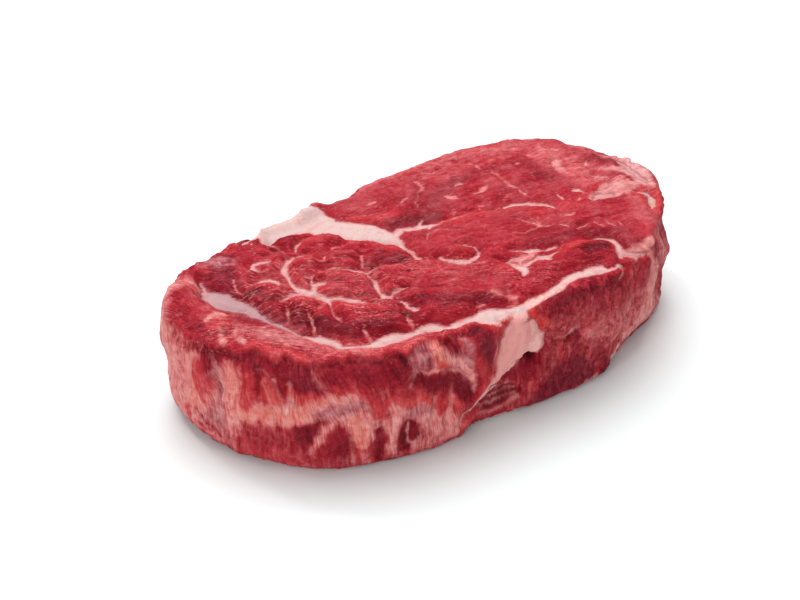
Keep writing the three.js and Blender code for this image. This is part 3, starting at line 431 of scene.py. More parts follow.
WALL_STROKES = (
    Stroke("dark far rim", Paint.CRIMSON, ((140, 34.4, 2), (150, 34, 2.6), (160, 33, 2.6)), 0.9),
    Stroke("blunt bevel", Paint.CRIMSON, ((200, 35, 3), (206, 33, 3.6), (210, 36, 2)), 0.85),
    Stroke("blunt bevel light", Paint.ROSE, ((184, 36, 3), (195, 35, 3), (201, 38, 2)), 0.9),
    Stroke("pink end", Paint.BLUSH, ((180, 34, 4), (184, 29, 5.4), (188, 18, 6.4), (192, 9, 5),
        (193, 25, 3.4)), 0.95),
    Stroke("pale ground left", Paint.BLUSH, ((198, 22, 2), (204, 14, 3), (210, 12, 3)), 0.9),
    Stroke("pale ground", Paint.BLUSH, ((213, 23, 2), (217, 17, 1.2), (224, 17.6, 1.3), (231, 21.2, 2.4),
        (243, 22, 3), (248, 17, 2), (250, 12, 1.4)), 0.9),
    Stroke("pale ground right", Paint.BLUSH, ((252, 17, 1.6), (257.4, 14, 2), (264, 15.4, 2), (270, 11, 2),
        (275, 8.5, 1.4)), 0.85),
    Stroke("pale foot right", Paint.BLUSH, ((256, 5, 0.8), (266, 4.6, 0.8), (275, 5, 1)), 0.6),
    Stroke("pale ground of the arch", Paint.LILAC, ((263.6, 32.4, 1.8), (268, 33, 3), (273, 31.6, 2.6),
        (277.4, 30.2, 1.6), (279.8, 25, 0.9), (282.2, 19.4, 0.4)), 0.95),
    Stroke("left salmon", Paint.SALMON, ((200, 19, 2), (204, 13, 2.4), (198, 15, 2)), 0.8),
    Stroke("left lilac", Paint.LILAC, ((208.5, 27, 1), (209, 20, 1.6), (208, 12, 2.6), (205, 6, 2)), 0.85),
    Stroke("red streak", Paint.ROSE, ((195.6, 31, 0.8), (196, 24, 0.6), (195.3, 14, 0.5)), 0.9),
    Stroke("pale column", Paint.BLUSH, ((200.5, 28.8, 0.5), (198.6, 27.5, 0.9), (197.8, 22, 0.9),
        (197.6, 15, 1)), 0.9),
    Stroke("red patch", Paint.BRIGHT, ((201.2, 26.6, 1), (202.6, 23, 1.8), (203.6, 18.5, 1),
        (203.8, 15.4, 0.2))),
    Stroke("orange flank", Paint.ORANGE, ((206.4, 24, 0.4), (207, 20, 0.5), (206.6, 17, 0.4)), 0.5),
    # Sunk creases painted dark: painted shade in the creases.
    Stroke("dark crease", Paint.CREASE, ((204.6, 31, 0.05), (207, 26, 0.1), (209.4, 20.5, 0.05)), 0.8),
    Stroke("second crease", Paint.CREASE, ((209.6, 32, 0.2), (210.4, 25, 0.3), (209.9, 18, 0.2)), 0.6),
    Stroke("low left blush", Paint.BLUSH, ((197, 10, 1.5), (201, 7, 2), (208, 5, 1.6)), 0.8),
    Stroke("low left lilac", Paint.LILAC, ((204, 10, 1.5), (208, 8, 2)), 0.6),
    Stroke("low red wedge", Paint.BRIGHT, ((197.8, 10.5, 0.1), (197, 8.5, 0.3), (197.2, 6, 0.3)), 0.9),
    Stroke("low red line", Paint.CRIMSON, ((200, 11.6, 0.05), (203, 9, 0.15), (206, 7.4, 0.2),
        (209, 5.8, 0.1)), 0.8),
    Stroke("low red dashes", Paint.RED, ((201, 7.2, 0.2), (203.4, 6.2, 0.2), (206.6, 5.4, 0.1)), 0.8),
    Stroke("low left hem", Paint.RED, ((197, 3, 0.3), (203, 3.4, 0.4), (209, 2.6, 0.7)), 0.8),
    Stroke("pale block", Paint.SALMON, ((212.6, 30.5, 1.3), (212.7, 25, 1.7), (213.2, 20, 1.6),
        (213.8, 16, 1.2))),
    Stroke("pale foot", Paint.BLUSH, ((212.5, 14, 0.9), (213.3, 9, 0.9), (213.8, 3, 0.6)), 0.85),
    Stroke("red spots", Paint.ROSE, ((214.4, 27, 0.3), (213.2, 22, 0.3), (214, 18, 0.3)), 0.7),
    Stroke("bright stripe", Paint.BRIGHT, ((217.6, 30.6, 0.8), (217.4, 26, 1.2), (217.2, 19.4, 1))),
    Stroke("red fan", Paint.ORANGE, ((221.4, 27.5, 0.8), (222.4, 23, 1.5), (225, 22.6, 0.9),
        (225.6, 25, 0.5))),
    # Dark crimson just under the rim: partly muscle colour and partly painted shade under the overhanging
    # rim.
    Stroke("dark top", Paint.CRIMSON, ((213, 34.6, 0.8), (221, 34.4, 1), (228, 32.6, 1.8), (233, 30.4, 2.2),
        (240, 31.4, 2.6)), 0.85),
    Stroke("dark spike", Paint.DARK, ((220.2, 33, 0.6), (220.4, 28, 0.3), (220.2, 23, 0.1)), 0.95),
    Stroke("purple veil", Paint.LILAC, ((220, 32.4, 0.1), (223, 31.6, 0.2), (226, 29.4, 0.1)), 0.5),
    Stroke("dark wedge", Paint.DARK, ((225.4, 34, 0.8), (226.4, 30, 0.8), (227.2, 25.6, 0.2)), 0.95),
    Stroke("dark fan", Paint.DARK, ((228.6, 32, 0.5), (228.9, 27, 0.3), (232, 29, 0.8)), 0.85),
    Stroke("lilac tuft", Paint.LILAC, ((235.6, 33, 0.3), (237.5, 30.5, 0.9), (239, 27, 0.7)), 0.55),
    Stroke("plum lane", Paint.PURPLE, ((234, 31, 0.8), (236.6, 28, 1), (238.6, 25, 0.4)), 0.7),
    Stroke("fringe of the top", Paint.ORANGE, ((229.8, 26.4, 0.4), (233, 25, 0.7), (236.4, 26, 0.6),
        (239.8, 25.4, 0.5)), 0.75),
    Stroke("curtain", Paint.CRIMSON, ((243, 35, 2), (249, 33, 2.6), (256, 31.5, 3), (261, 30, 2)), 0.95),
    Stroke("dark curtain", Paint.DARK, ((256, 34, 0.4), (258.6, 31, 0.7), (260.4, 34, 0.6)), 0.45),
    Stroke("bright hem", Paint.BRIGHT, ((240.5, 28.5, 0.4), (245, 27.5, 0.6), (250.5, 24.6, 0.8),
        (254, 21.6, 0.8), (258, 23.6, 0.7), (262, 21.6, 0.6)), 0.85),
    Stroke("first flow", Paint.ORANGE, ((251.6, 23, 0.5), (253.4, 19.6, 0.3), (254.4, 17.6, 0.1)), 0.8),
    Stroke("second flow", Paint.ORANGE, ((256.6, 22.6, 0.4), (259.2, 18.6, 0.3), (260.4, 16.6, 0.1)), 0.8),
    Stroke("salmon band", Paint.SALMON, ((216, 16.4, 0.6), (222, 17.2, 0.9), (228, 18.4, 1.4),
        (233, 21, 1.6), (240, 24.4, 0.8), (246, 25, 0.6))),
    Stroke("white knot", Paint.WHITE, ((228.3, 21.6, 0.4), (228.8, 20.2, 0.4)), 0.85),
    Stroke("lilac band", Paint.LILAC, ((236, 20.6, 0.5), (241, 21.4, 1.3), (246, 22.4, 1.6),
        (249.4, 22, 0.8)), 0.9),
    Stroke("pink band", Paint.BLUSH, ((242, 25, 0.4), (247, 24.6, 0.5)), 0.7),
    Stroke("maroon blob", Paint.DARK, ((231.6, 13, 1), (234, 13.8, 2.6), (236, 16, 1.2), (237.6, 18, 0.4))),
    Stroke("mottled base", Paint.RED, ((217, 6, 3), (224, 6, 4), (230, 5, 2.6)), 0.9),
    Stroke("mottled dark", Paint.CRIMSON, ((218.6, 10.6, 0.8), (222.5, 7.5, 0.8), (222, 11.5, 0.4),
        (229, 8, 1)), 0.5),
    Stroke("hem of the base", Paint.ROSE, ((229, 1.8, 0.2), (232.6, 2, 0.4), (235.6, 1.4, 0.2)), 0.9),
    Stroke("low bright", Paint.BRIGHT, ((213.5, 1.8, 0.4), (216, 4, 0.5)), 0.6),
    Stroke("pale wedge", Paint.BLUSH, ((235.4, 7, 0.3), (237, 11.6, 0.5), (239, 16.4, 0.9)), 0.8),
    Stroke("upright ellipse", Paint.CRIMSON, ((240.6, 3, 2.4), (241.8, 8, 3), (242.2, 13, 1.8))),
    Stroke("ellipse core", Paint.DARK, ((242.4, 4, 0.8), (243.4, 10, 0.8)), 0.6),
    Stroke("salmon column", Paint.SALMON, ((247.4, 18.4, 1), (248, 14.5, 1.3), (248.8, 10.4, 0.9))),
    Stroke("red tooth", Paint.ORANGE, ((248, 8, 0.2), (248.6, 5, 0.4)), 0.9),
    Stroke("low maroon", Paint.ROSE, ((240, 3, 1.6), (250, 4, 2), (259, 2.6, 1.2), (270, 3.6, 1.6)), 0.55),
    Stroke("second ellipse", Paint.DARK, ((252.8, 4, 1), (253.2, 10, 1.3), (252.9, 13.4, 0.8)), 0.95),
    Stroke("second ellipse veil", Paint.LILAC, ((251.5, 16.4, 0.3), (253.3, 16.8, 0.3)), 0.9),
    Stroke("pale gap", Paint.BLUSH, ((257, 6, 0.5), (257.4, 12, 0.9), (258.4, 17, 0.9), (257.4, 21, 0.3))),
    Stroke("third ellipse", Paint.DARK, ((261.2, 6, 1.9), (262, 9.6, 3), (262, 12.8, 1.9))),
    Stroke("veil of the third ellipse", Paint.LILAC, ((262.2, 13.4, 0.1), (261.4, 9.6, 0.1),
        (262.4, 6, 0.1)), 0.7),
    Stroke("pale beside it", Paint.FILM, ((265.6, 12.6, 0.3), (266, 8, 0.5), (264, 4.6, 0.4)), 0.8),
    Stroke("lilac dish", Paint.LILAC, ((261.6, 17, 1), (266.6, 16.6, 1.1))),
    Stroke("red hem", Paint.ORANGE, ((260, 21.4, 0.4), (264, 21, 0.6), (268.5, 19.6, 0.6)), 0.9),
    Stroke("streaky hem", Paint.ORANGE, ((268.6, 18.6, 0.8), (272, 16.4, 0.8), (276, 14.6, 1.2)), 0.6),
    Stroke("bright drops", Paint.BRIGHT, ((271, 19, 0.4), (271.5, 13, 0.3), (273.8, 14, 0.1)), 0.7),
    Stroke("blush floor", Paint.BLUSH, ((267.5, 6.5, 0.5), (273.5, 8, 0.8), (274.5, 11, 0.4),
        (274.8, 5, 0.3)), 0.85),
    Stroke("red line in the blush", Paint.CRIMSON, ((271.9, 11, 0.1), (271.8, 5, 0.1)), 0.6),
    Stroke("dark line in the blush", Paint.DARK, ((266.2, 9, 0.1), (266, 6, 0.1)), 0.6),
    Stroke("pale triangle", Paint.LILAC, ((263.8, 29.6, 1), (265, 33, 1.2), (266.4, 36.6, 0.4))),
    Stroke("plum lane of the flame", Paint.PURPLE, ((267.8, 36.5, 0.1), (268.3, 32, 0.2), (268.8, 29, 0.2)),
        0.7),
    Stroke("salmon flame", Paint.SALMON, ((270.6, 37, 0.4), (271.8, 33.5, 1), (273.4, 29.8, 1.1),
        (271, 28.4, 0.4))),
    Stroke("flame heart", Paint.ORANGE, ((270.9, 32, 0.3), (272, 29.4, 0.6), (273.4, 28.6, 0.4)), 1.0),
    Stroke("left shade", Paint.DARK, ((260.5, 36.4, 0.6), (261, 33, 0.4)), 0.8),
    Stroke("shade over the streak", Paint.DARK, ((274.6, 38, 0.8), (276, 35.6, 0.6), (276.6, 32.6, 0.1)),
        0.95),
    Stroke("lilac lane", Paint.LILAC, ((279.7, 37, 0.2), (279.8, 31, 0.3), (279.4, 29, 0.2)), 0.8),
    Stroke("pale streak", Paint.BLUSH, ((276.4, 30, 0.2), (278.2, 27.4, 0.5), (280.8, 23.8, 0.4),
        (282.4, 19, 0.1))),
    Stroke("dark arch", Paint.DARK, ((264.4, 26, 0.8), (267.5, 25.2, 1), (272, 23.8, 0.9), (276.5, 22, 1.6),
        (279, 18.5, 1.8), (280.2, 14.5, 0.8))),
    Stroke("arch purple", Paint.PURPLE, ((277, 23.4, 0.2), (279.8, 19, 0.3)), 0.6),
    Stroke("lobe", Paint.CRIMSON, ((284.6, 36, 1.4), (285.3, 29, 2.4), (285.4, 22, 2.2), (285, 17, 1.2))),
    Stroke("lobe shade", Paint.DARK, ((283.6, 36, 0.9), (285.2, 31, 1.6), (286.6, 26, 0.5)), 0.9),
    Stroke("plum of the lobe", Paint.PURPLE, ((284.4, 34, 0.6), (285.8, 30, 0.9)), 0.7),
    Stroke("lobe top", Paint.BRIGHT, ((288, 37, 0.6), (291, 35.6, 1.2), (294, 37, 0.8)), 0.95),
    Stroke("lobe foot", Paint.BRIGHT, ((283, 28, 0.4), (285.6, 22, 1), (286.2, 17.6, 1.2), (283.4, 14, 0.6)),
        0.9),
    Stroke("lobe veil", Paint.LILAC, ((289.4, 30, 0.1), (289.8, 26.5, 0.3), (289.2, 23, 0.1)), 0.7),
    Stroke("recess red", Paint.BRIGHT, ((278.6, 6.6, 0.3), (281, 8, 0.8), (284, 6, 0.5)), 0.85),
    Stroke("recess shade", Paint.DARK, ((283, 10.2, 0.3), (287, 12, 0.4), (291, 14, 0.5), (296, 16, 0.8)),
        0.8),
    Stroke("lens", Paint.DARK, ((287.6, 8, 1.4), (292, 8.8, 2.2), (297, 7.8, 1)), 0.95),
    Stroke("lilac lens", Paint.LILAC, ((291, 12.2, 0.05), (295.5, 11.6, 0.15), (298.6, 9.4, 0.05)), 0.5),
    Stroke("red below the bay", Paint.CRIMSON, ((297, 15, 0.8), (301, 12.5, 1.4), (305, 15, 1)), 0.9),
    Stroke("orange glow", Paint.ORANGE, ((302, 10, 0.3), (303.4, 8, 0.3)), 0.55),
    Stroke("dark deep", Paint.PURPLE, ((303, 3, 1.4), (311, 6, 4), (318, 7, 4), (323, 4, 1.2)), 0.85),
    Stroke("crimson muscle", Paint.CRIMSON, ((303, 32, 2), (312, 31, 6), (322, 31, 6), (331, 31, 4)), 0.5),
    Stroke("light of the muscle", Paint.ROSE, ((309, 27, 2), (316, 26, 2.4), (324, 27, 2.6)), 0.45),
    Stroke("purple of the muscle", Paint.PURPLE, ((311, 35, 1.2), (318, 35, 1.4), (326, 33.5, 0.8)), 0.4),
    Stroke("bright corner", Paint.ORANGE, ((301, 36, 0.5), (303.6, 32.5, 1), (306, 28.6, 0.8)), 0.9),
    Stroke("shade under the shelf", Paint.CREASE, ((310, 20.6, 0.1), (318.8, 20.6, 0.1)), 0.9),
    Stroke("second red", Paint.RED, ((338, 31, 2.4), (344, 30, 2.6), (347, 28, 1)), 0.8),
    Stroke("bright rim of the second red", Paint.BRIGHT, ((333, 35, 0.2), (337, 33, 0.4), (343, 32.6, 0.3)),
        0.6),
    Stroke("mottled pink", Paint.ROSE, ((323, 19, 2), (331, 17, 4), (338, 16, 4.6), (342, 20, 2.4)), 0.75),
    Stroke("pale corner", Paint.BLUSH, ((351, 38, 1.8), (350.8, 33.6, 1), (350.8, 28, 1.2), (350.8, 23, 2.4),
        (350.8, 17, 3.4), (349, 12, 2.8), (342, 10, 1.4))),
    Stroke("salmon corner", Paint.SALMON, ((348.6, 20, 0.8), (347.4, 15, 1)), 0.6),
    Stroke("pale flank of the corner", Paint.BLUSH, ((352.6, 27, 0.8), (354, 21, 1.4), (355, 16, 2.2),
        (356, 10, 1.8)), 0.95),
    Stroke("pale foot of the corner", Paint.BLUSH, ((338, 10, 0.8), (345, 8.6, 1.6), (354, 7, 2.4)), 0.9),
    Stroke("drip", Paint.CRIMSON, ((326.6, 3, 1.2), (330, 3.8, 1.4)), 0.95),
    Stroke("swollen drip", Paint.SWELL, ((326.5, 2.8, 0.3), (329.5, 3.4, 0.3)), 0.3),
    Stroke("white crumb", Paint.WHITE, ((322.6, 1.7, 0.7), (324.8, 1.9, 0.7)), 1.0),
    Stroke("second white crumb", Paint.WHITE, ((333.2, 5, 1), (335.6, 5.6, 0.8)), 1.0),
    Stroke("dark narrow end", Paint.CRIMSON, ((355, 33, 3), (358, 24, 3.4), (366, 24, 6), (374, 24, 6),
        (380, 26, 5)), 0.97),
    Stroke("purple narrow end", Paint.PURPLE, ((353, 36, 0.6), (355.5, 31, 0.8), (357, 25, 0.6)), 0.8),
    Stroke("light of the narrow end", Paint.ROSE, ((357, 33, 1.8), (360, 27, 3), (363, 21, 2.6)), 0.9),
    Stroke("pale narrow end", Paint.BLUSH, ((356, 8, 2), (364, 5, 1.6)), 0.6),
    Stroke("knob of the narrow end", Paint.BRIGHT, ((366, 20, 1), (371, 19.6, 1)), 0.9),
    Stroke("drawn in narrow end", Paint.SINK, ((359, 34, 1.5), (368, 31, 2.5), (377, 30, 2)), 2.0),
    Stroke("swollen knob", Paint.SWELL, ((366, 20.6, 0.2), (370.6, 20, 0.2)), 1.2),
    Stroke("waist", Paint.SINK, ((356, 16, 2), (364, 11, 3)), 2.2),
    Stroke("full narrow corner", Paint.SWELL, ((3, 36, 1.5), (13, 36, 1.5)), 0.5),
    Stroke("low far corner", Paint.SINK, ((17, 36, 2), (30, 36, 3), (38, 36, 1)), 1.8),
    Stroke("dip over the blunt end", Paint.SINK, ((152, 36, 1.5), (162, 36, 1.5)), 1.1),
    Stroke("dip beside the seam", Paint.SINK, ((110, 36.5, 1.5), (119, 36.5, 1.5)), 1.2),
    Stroke("hump of the seam", Paint.HUMP, ((121, 36, 0.8), (136, 36, 0.8)), 0.7),
    Stroke("full blunt end", Paint.SWELL, ((179, 35, 1.5), (187, 35, 1.5)), 0.9),
    Stroke("drawn in blunt end", Paint.SINK, ((179, 19, 3), (189, 19, 3)), 1.5),
    Stroke("salmon of the tongue", Paint.SALMON, ((297, 34.6, 1.4), (297, 29, 4), (295, 23.6, 4.4),
        (290, 17.6, 2.4), (287, 15, 0.6)), 0.42),
    Stroke("streak of the tongue", Paint.SALMON, ((300, 31, 0.2), (301, 26, 0.3)), 0.3),
    # The notch under the tongue's free lobe, sunk and painted near black: painted shade in the notch.
    Stroke("dark notch under the tongue", Paint.SHADED_HOLLOW, ((296.6, 19.6, 0.6), (299.6, 19.2, 1.4),
        (303.4, 16.6, 0.7)), 1.1),
)

WALL_STRANDS = (
    Strand("tongue", ((298.4, 39, 1.2), (297.6, 35.5, 1.5), (297.2, 32.6, 2.9), (297.2, 29.6, 5),
        (298.2, 27, 6.6), (299, 24.6, 7.4), (299.6, 23.6, 7.2))),
    Strand("root of the tongue", ((296, 24, 5), (293.6, 20.4, 3.5), (290.8, 17, 2.4), (287.6, 14.2, 1.5),
        (284.6, 12.4, 0.8), (281, 10.6, 0.5), (278, 8.6, 0.4), (276, 7.2, 0.3))),
    Strand("free lobe", ((302, 24.4, 4.8), (304, 21, 3), (304.6, 18.8, 1.3))),
)

# Height on the wall's sheet at which the cut face's paint takes over, by arc.
RIM_LINE = (
    (0, 36.8), (60, 36.2), (120, 37.2), (180, 35.4), (188, 33.6), (196, 33), (204, 34.4), (210, 35.6),
    (215, 36.2), (219, 38), (223, 37), (227, 38.2), (231, 36.6), (235, 36), (239, 38.6), (244, 37.6),
    (249, 38.8), (254, 36.8), (258, 38), (263, 36.8), (268, 38.8), (272, 37.8), (277, 39), (283, 38),
    (287, 38.4), (292, 37), (300, 37), (305, 38.2), (310, 39.4), (316, 40.4), (322, 39.6), (328, 37.4),
    (333, 35.8), (340, 34.8), (347, 33.8), (351, 34.6), (358, 36.5), (381, 36.8),
)

# How torn the rim is and how streaky the wall is, from 0 to 1, by arc.
TORN_RIM = ((0, 0.1), (170, 0.1), (192, 0.8), (215, 1), (298, 1), (306, 0.2), (381, 0.1))
STREAKY_WALL = ((0, 0.8), (190, 0.6), (200, 0.9), (298, 1), (308, 0.4), (345, 0.4), (360, 0.8), (381, 0.8))

# How far the foot of the wall stands out from the solid, in millimetres, by arc.
FOOT_SPREAD = (
    (0, 0), (178, 0.4), (188, 1.0), (200, 1.4), (215, 1.2), (235, 0.7), (255, 0.4), (265, 0), (275, 0),
    (283, 0.5), (292, 0.5), (302, 1.2), (318, 1.4), (325, 0.2), (331, -0.6), (336, -1.6), (344, -2.4),
    (352, -3.0), (360, -1.6), (368, 0), (381, 0),
)

CUT_VEINS = (
    Veins("marks of the loin eye", (
        ((-3, 27.5, 0.25), (-5, 26.7, 0.35), (-6.5, 26.5, 0.15)),
        ((-13, 22.8, 0.2), (-9, 22, 0.2), (-5, 21.8, 0.25), (-3, 21.8, 0.3)),
        ((3.2, 23.5, 0.2), (4.5, 24.8, 0.3), (6, 25.2, 0.2)),
        ((11.2, 31.2, 0.3), (11.8, 28.5, 0.3), (12, 26.5, 0.4), (10.5, 25.2, 0.2), (7.5, 22, 0.1),
         (6.8, 19.5, 0.1)),
        ((15.5, 34, 0.15), (18, 33.2, 0.3), (20.5, 33.5, 0.3), (22.5, 34.2, 0.35), (24.5, 35.2, 0.4)),
        ((24.5, 35.2, 0.3), (27, 34.5, 0.15), (30, 33, 0.1), (31.8, 31, 0.1), (31.5, 28.5, 0.25)),
        ((16.3, 21.5, 0.3), (17.3, 20.3, 0.8), (18.3, 19.2, 0.8), (19, 18.5, 0.3)),
        ((21, 23.5, 0.2), (22.8, 24.3, 0.45), (24, 23.8, 0.3)),
        ((23.5, 18, 0.2), (26.5, 18, 0.6), (28.3, 19.2, 0.9), (29.3, 19.7, 0.4)),
        ((34, 25.5, 0.3), (35, 23.5, 0.2), (35.6, 21, 0.4), (35.7, 18.5, 0.4), (35.2, 17.2, 0.5),
         (36.5, 16, 0.4), (37.3, 15, 0.2)),
        ((37.3, 13.5, 0.2), (37.8, 11.5, 0.5), (38.2, 10.5, 0.3)),
        ((31, 12.2, 0.2), (33, 13.3, 0.3), (34.5, 13.5, 0.2)),
        ((23, 12.6, 0.3), (24, 12.6, 0.3)),
        ((15.2, 13.2, 0.3), (16, 13.2, 0.3)),
        ((54.5, 24, 0.4), (53.5, 22, 0.7), (53.5, 20, 0.6), (55, 18.5, 0.3), (55.2, 16.5, 0.2)),
        ((63, 20, 0.2), (62, 18, 0.4), (62.5, 16.3, 0.3)),
        ((48, 29.5, 0.3), (48.3, 28.8, 0.4)),
        ((55, 30, 0.3), (57.5, 28.3, 0.5)),
        ((43, 26.8, 0.3), (44, 26.4, 0.3)),
        ((45.4, 34, 0.3), (46.6, 34, 0.3)),
    )),
    Veins("twigs of the cap", (
        ((-39.2, 21.5, 0.25), (-38.3, 20, 0.3), (-37.5, 18.3, 0.3), (-36.5, 17, 0.2)),
        ((-40, 16.4, 0.2), (-37, 16.5, 0.3), (-36.5, 15, 0.3)),
        ((-23.5, 11.8, 0.3), (-21.5, 11.3, 0.4)),
        ((-29.8, 6.2, 0.3), (-28.3, 7.5, 0.3), (-27.5, 9, 0.15)),
        ((-46.3, -8.5, 0.15), (-46.7, -11, 0.2), (-48, -13.5, 0.15)),
        ((-54.5, 10, 0.15), (-55, 7, 0.2), (-54.3, 4.5, 0.15)),
        ((-35, -13, 0.25), (-35, -16, 0.2), (-34.8, -19, 0.2)),
        ((-38.5, -12.5, 0.2), (-36.3, -12, 0.4), (-34.8, -11.5, 0.5)),
        ((-19.2, 0.6, 0.2), (-18.5, 3, 0.25), (-17.5, 5, 0.2)),
        ((-43.2, -21, 0.4), (-42, -18, 0.35), (-41.5, -14, 0.3), (-41.8, -12.8, 0.2)),
        ((-30.5, -30, 0.4), (-30.7, -27.5, 0.4), (-30.8, -25.5, 0.15)),
        ((-18, -30, 0.4), (-17.6, -27.6, 0.6), (-17.6, -26.6, 0.3)),
    )),
    Veins("marks of the strap", (
        ((10, 10.7, 0.2), (12, 11, 0.4), (15, 11, 0.5), (18, 10.5, 0.3), (29, 9.5, 0.1)),
        ((30.2, 2, 0.15), (32, 0.3, 0.15), (33.7, -1.2, 0.2), (35, -3.3, 0.3), (37, -4.3, 0.2),
         (39.5, -4.8, 0.15),
         (41.5, -5.5, 0.2), (42.3, -7, 0.1)),
        ((35, -3.3, 0.2), (32.5, -4, 0.15), (29.5, -4.5, 0.1), (26, -3.2, 0.05)),
        ((35, -3.3, 0.2), (35.1, -1, 0.1), (34.6, 2, 0.05)),
        ((35.5, -2.5, 0.1), (36.5, 1, 0.05)),
        ((43, -1.5, 0.2), (45, -2, 0.4), (46.5, -1.6, 0.2)),
        ((44.5, -9, 0.2), (47, -8.2, 0.35), (48, -7.8, 0.15)),
        ((51.5, 3.8, 0.3), (50, 2.8, 0.3)),
        ((54, 5.6, 0.4), (54.6, 5.3, 0.4)),
        ((60.5, 12.5, 0.3), (62, 11.7, 0.5), (63.5, 10.8, 0.4), (64.5, 9.8, 0.2)),
        ((50, -9, 0.15), (51.5, -11, 0.2)),
        ((53, -9.5, 0.15), (54, -12, 0.2)),
        ((56, -11, 0.15), (56.4, -13, 0.15)),
        ((38, 1, 0.15), (38.4, 3, 0.15)),
        ((2.5, 4, 0.1), (4, 6, 0.15), (8, 7, 0.15), (13, 4.5, 0.1)),
        ((2, -29.6, 0.5), (4.3, -29.3, 0.5)),
        ((11, -30, 0.2), (12, -28, 0.4), (13, -26, 0.2)),
    )),
)

WALL_VEINS = (
    Veins("left of the tongue", (
        ((197.4, 19, 0.5), (197.6, 24, 0.6), (198.6, 28, 0.7), (200.5, 29, 0.4)),
        ((205.2, 31.5, 0.3), (208.3, 27, 0.5), (209.5, 22, 0.4)),
        ((221.3, 27.5, 0.1), (223, 23, 0.2), (224.5, 19.8, 0.1)),
        ((224.6, 28.6, 0.3), (226.4, 25.5, 0.3), (227, 21.5, 0.3)),
        ((229.3, 28.8, 0.2), (229.7, 26, 0.25), (229.3, 24, 0.3)),
        ((245.8, 12, 0.3), (246.4, 7, 0.3), (246, 2, 0.3)),
        ((262, 14, 0.1), (261.4, 10.5, 0.12), (262, 7.5, 0.12), (263.6, 5, 0.1)),
        ((270, 20, 0.25), (269.6, 14, 0.35), (269, 9, 0.4)),
        ((275.4, 20.5, 0.25), (275, 15, 0.4), (273.4, 10, 0.6)),
        ((262.5, 24.5, 0.15), (264.5, 27.8, 0.3), (268.5, 28, 0.3), (273, 26.6, 0.25),
         (277, 25.4, 0.25)),
        ((277, 25.4, 0.25), (281, 21.5, 0.3), (282.5, 17, 0.25)),
    )),
    Veins("round the tongue", (
        ((283.4, 11.4, 0.3), (286.8, 7.4, 0.3), (285, 4.4, 0.3)),
        ((285, 4.4, 0.3), (290, 4.8, 0.4), (297.5, 5.4, 0.6)),
        ((287, 9.6, 0.15), (292, 10.2, 0.2), (297, 9, 0.15)),
        ((288, 7.8, 0.15), (293, 8.2, 0.15), (297, 7, 0.15)),
        ((310.6, 21.2, 0.25), (315, 21.6, 0.5), (318, 22, 0.6), (318.4, 20.9, 0.2)),
        ((335.8, 36, 0.3), (335.3, 34, 0.4), (333.6, 32.6, 0.25)),
        ((349, 36, 0.3), (350.5, 30, 0.4), (350, 24, 0.4)),
    )),
)

# How far the wall's fibres lean: arc gained for each millimetre down, by arc.
WALL_LEANS = (
    (0, 0.1), (40, -0.3), (85, 0.3), (130, -0.1), (186, 0.1), (197, 0.15), (206, 0.5), (212, 0.1),
    (217, 0.0), (222, 0.35), (229, 0.1), (236, 0.4), (249, 0.35), (256, 0.2), (262, 0.05), (272, 0.0),
    (279, 0.35), (284, 0.0), (291, -0.2), (300, -0.3), (320, 0.1), (345, 0.2), (381, 0.1),
)


def smooth_step(low: float, high: float, value: np.ndarray) -> np.ndarray:
    """Fade from 0 at low to 1 at high, with low above high for the other way.

    Args:
        low: value that gives 0.
        high: value that gives 1.
        value: values to fade.

    Returns:
        The faded values, from 0 to 1.
    """
    share = np.clip((value - low) / (high - low), 0, 1)
    return share * share * (3 - 2 * share)


def edge_distance(points: np.ndarray, route: Route) -> np.ndarray:
    """Distance from points to the edge of a chain of round marks.

    Args:
        points: places on a sheet, one row each.
        route: the marks, each two places and a half width.

    Returns:
        One distance for each point, negative inside the chain.
    """
    best = np.full(len(points), np.inf)
    for start, end in zip(route[:-1], route[1:]):
        base, run = np.array(start[:2]), np.subtract(end[:2], start[:2])
        along = np.clip((points - base) @ run / (run @ run), 0, 1)
        gap = np.linalg.norm(points - base - along[:, None] * run, axis=1)
        best = np.minimum(best, gap - start[2] - along * (end[2] - start[2]))
    return best


def blend_near(first: np.ndarray, second: np.ndarray, reach: float) -> np.ndarray:
    """The smaller of two distances, rounded where they are alike, so that strands web together.

    Args:
        first: distances to one shape.
        second: distances to another.
        reach: how far the rounding reaches.

    Returns:
        The joined distances.
    """
    share = np.clip(0.5 + 0.5 * (second - first) / reach, 0, 1)
    return second + (first - second) * share - reach * share * (1 - share)


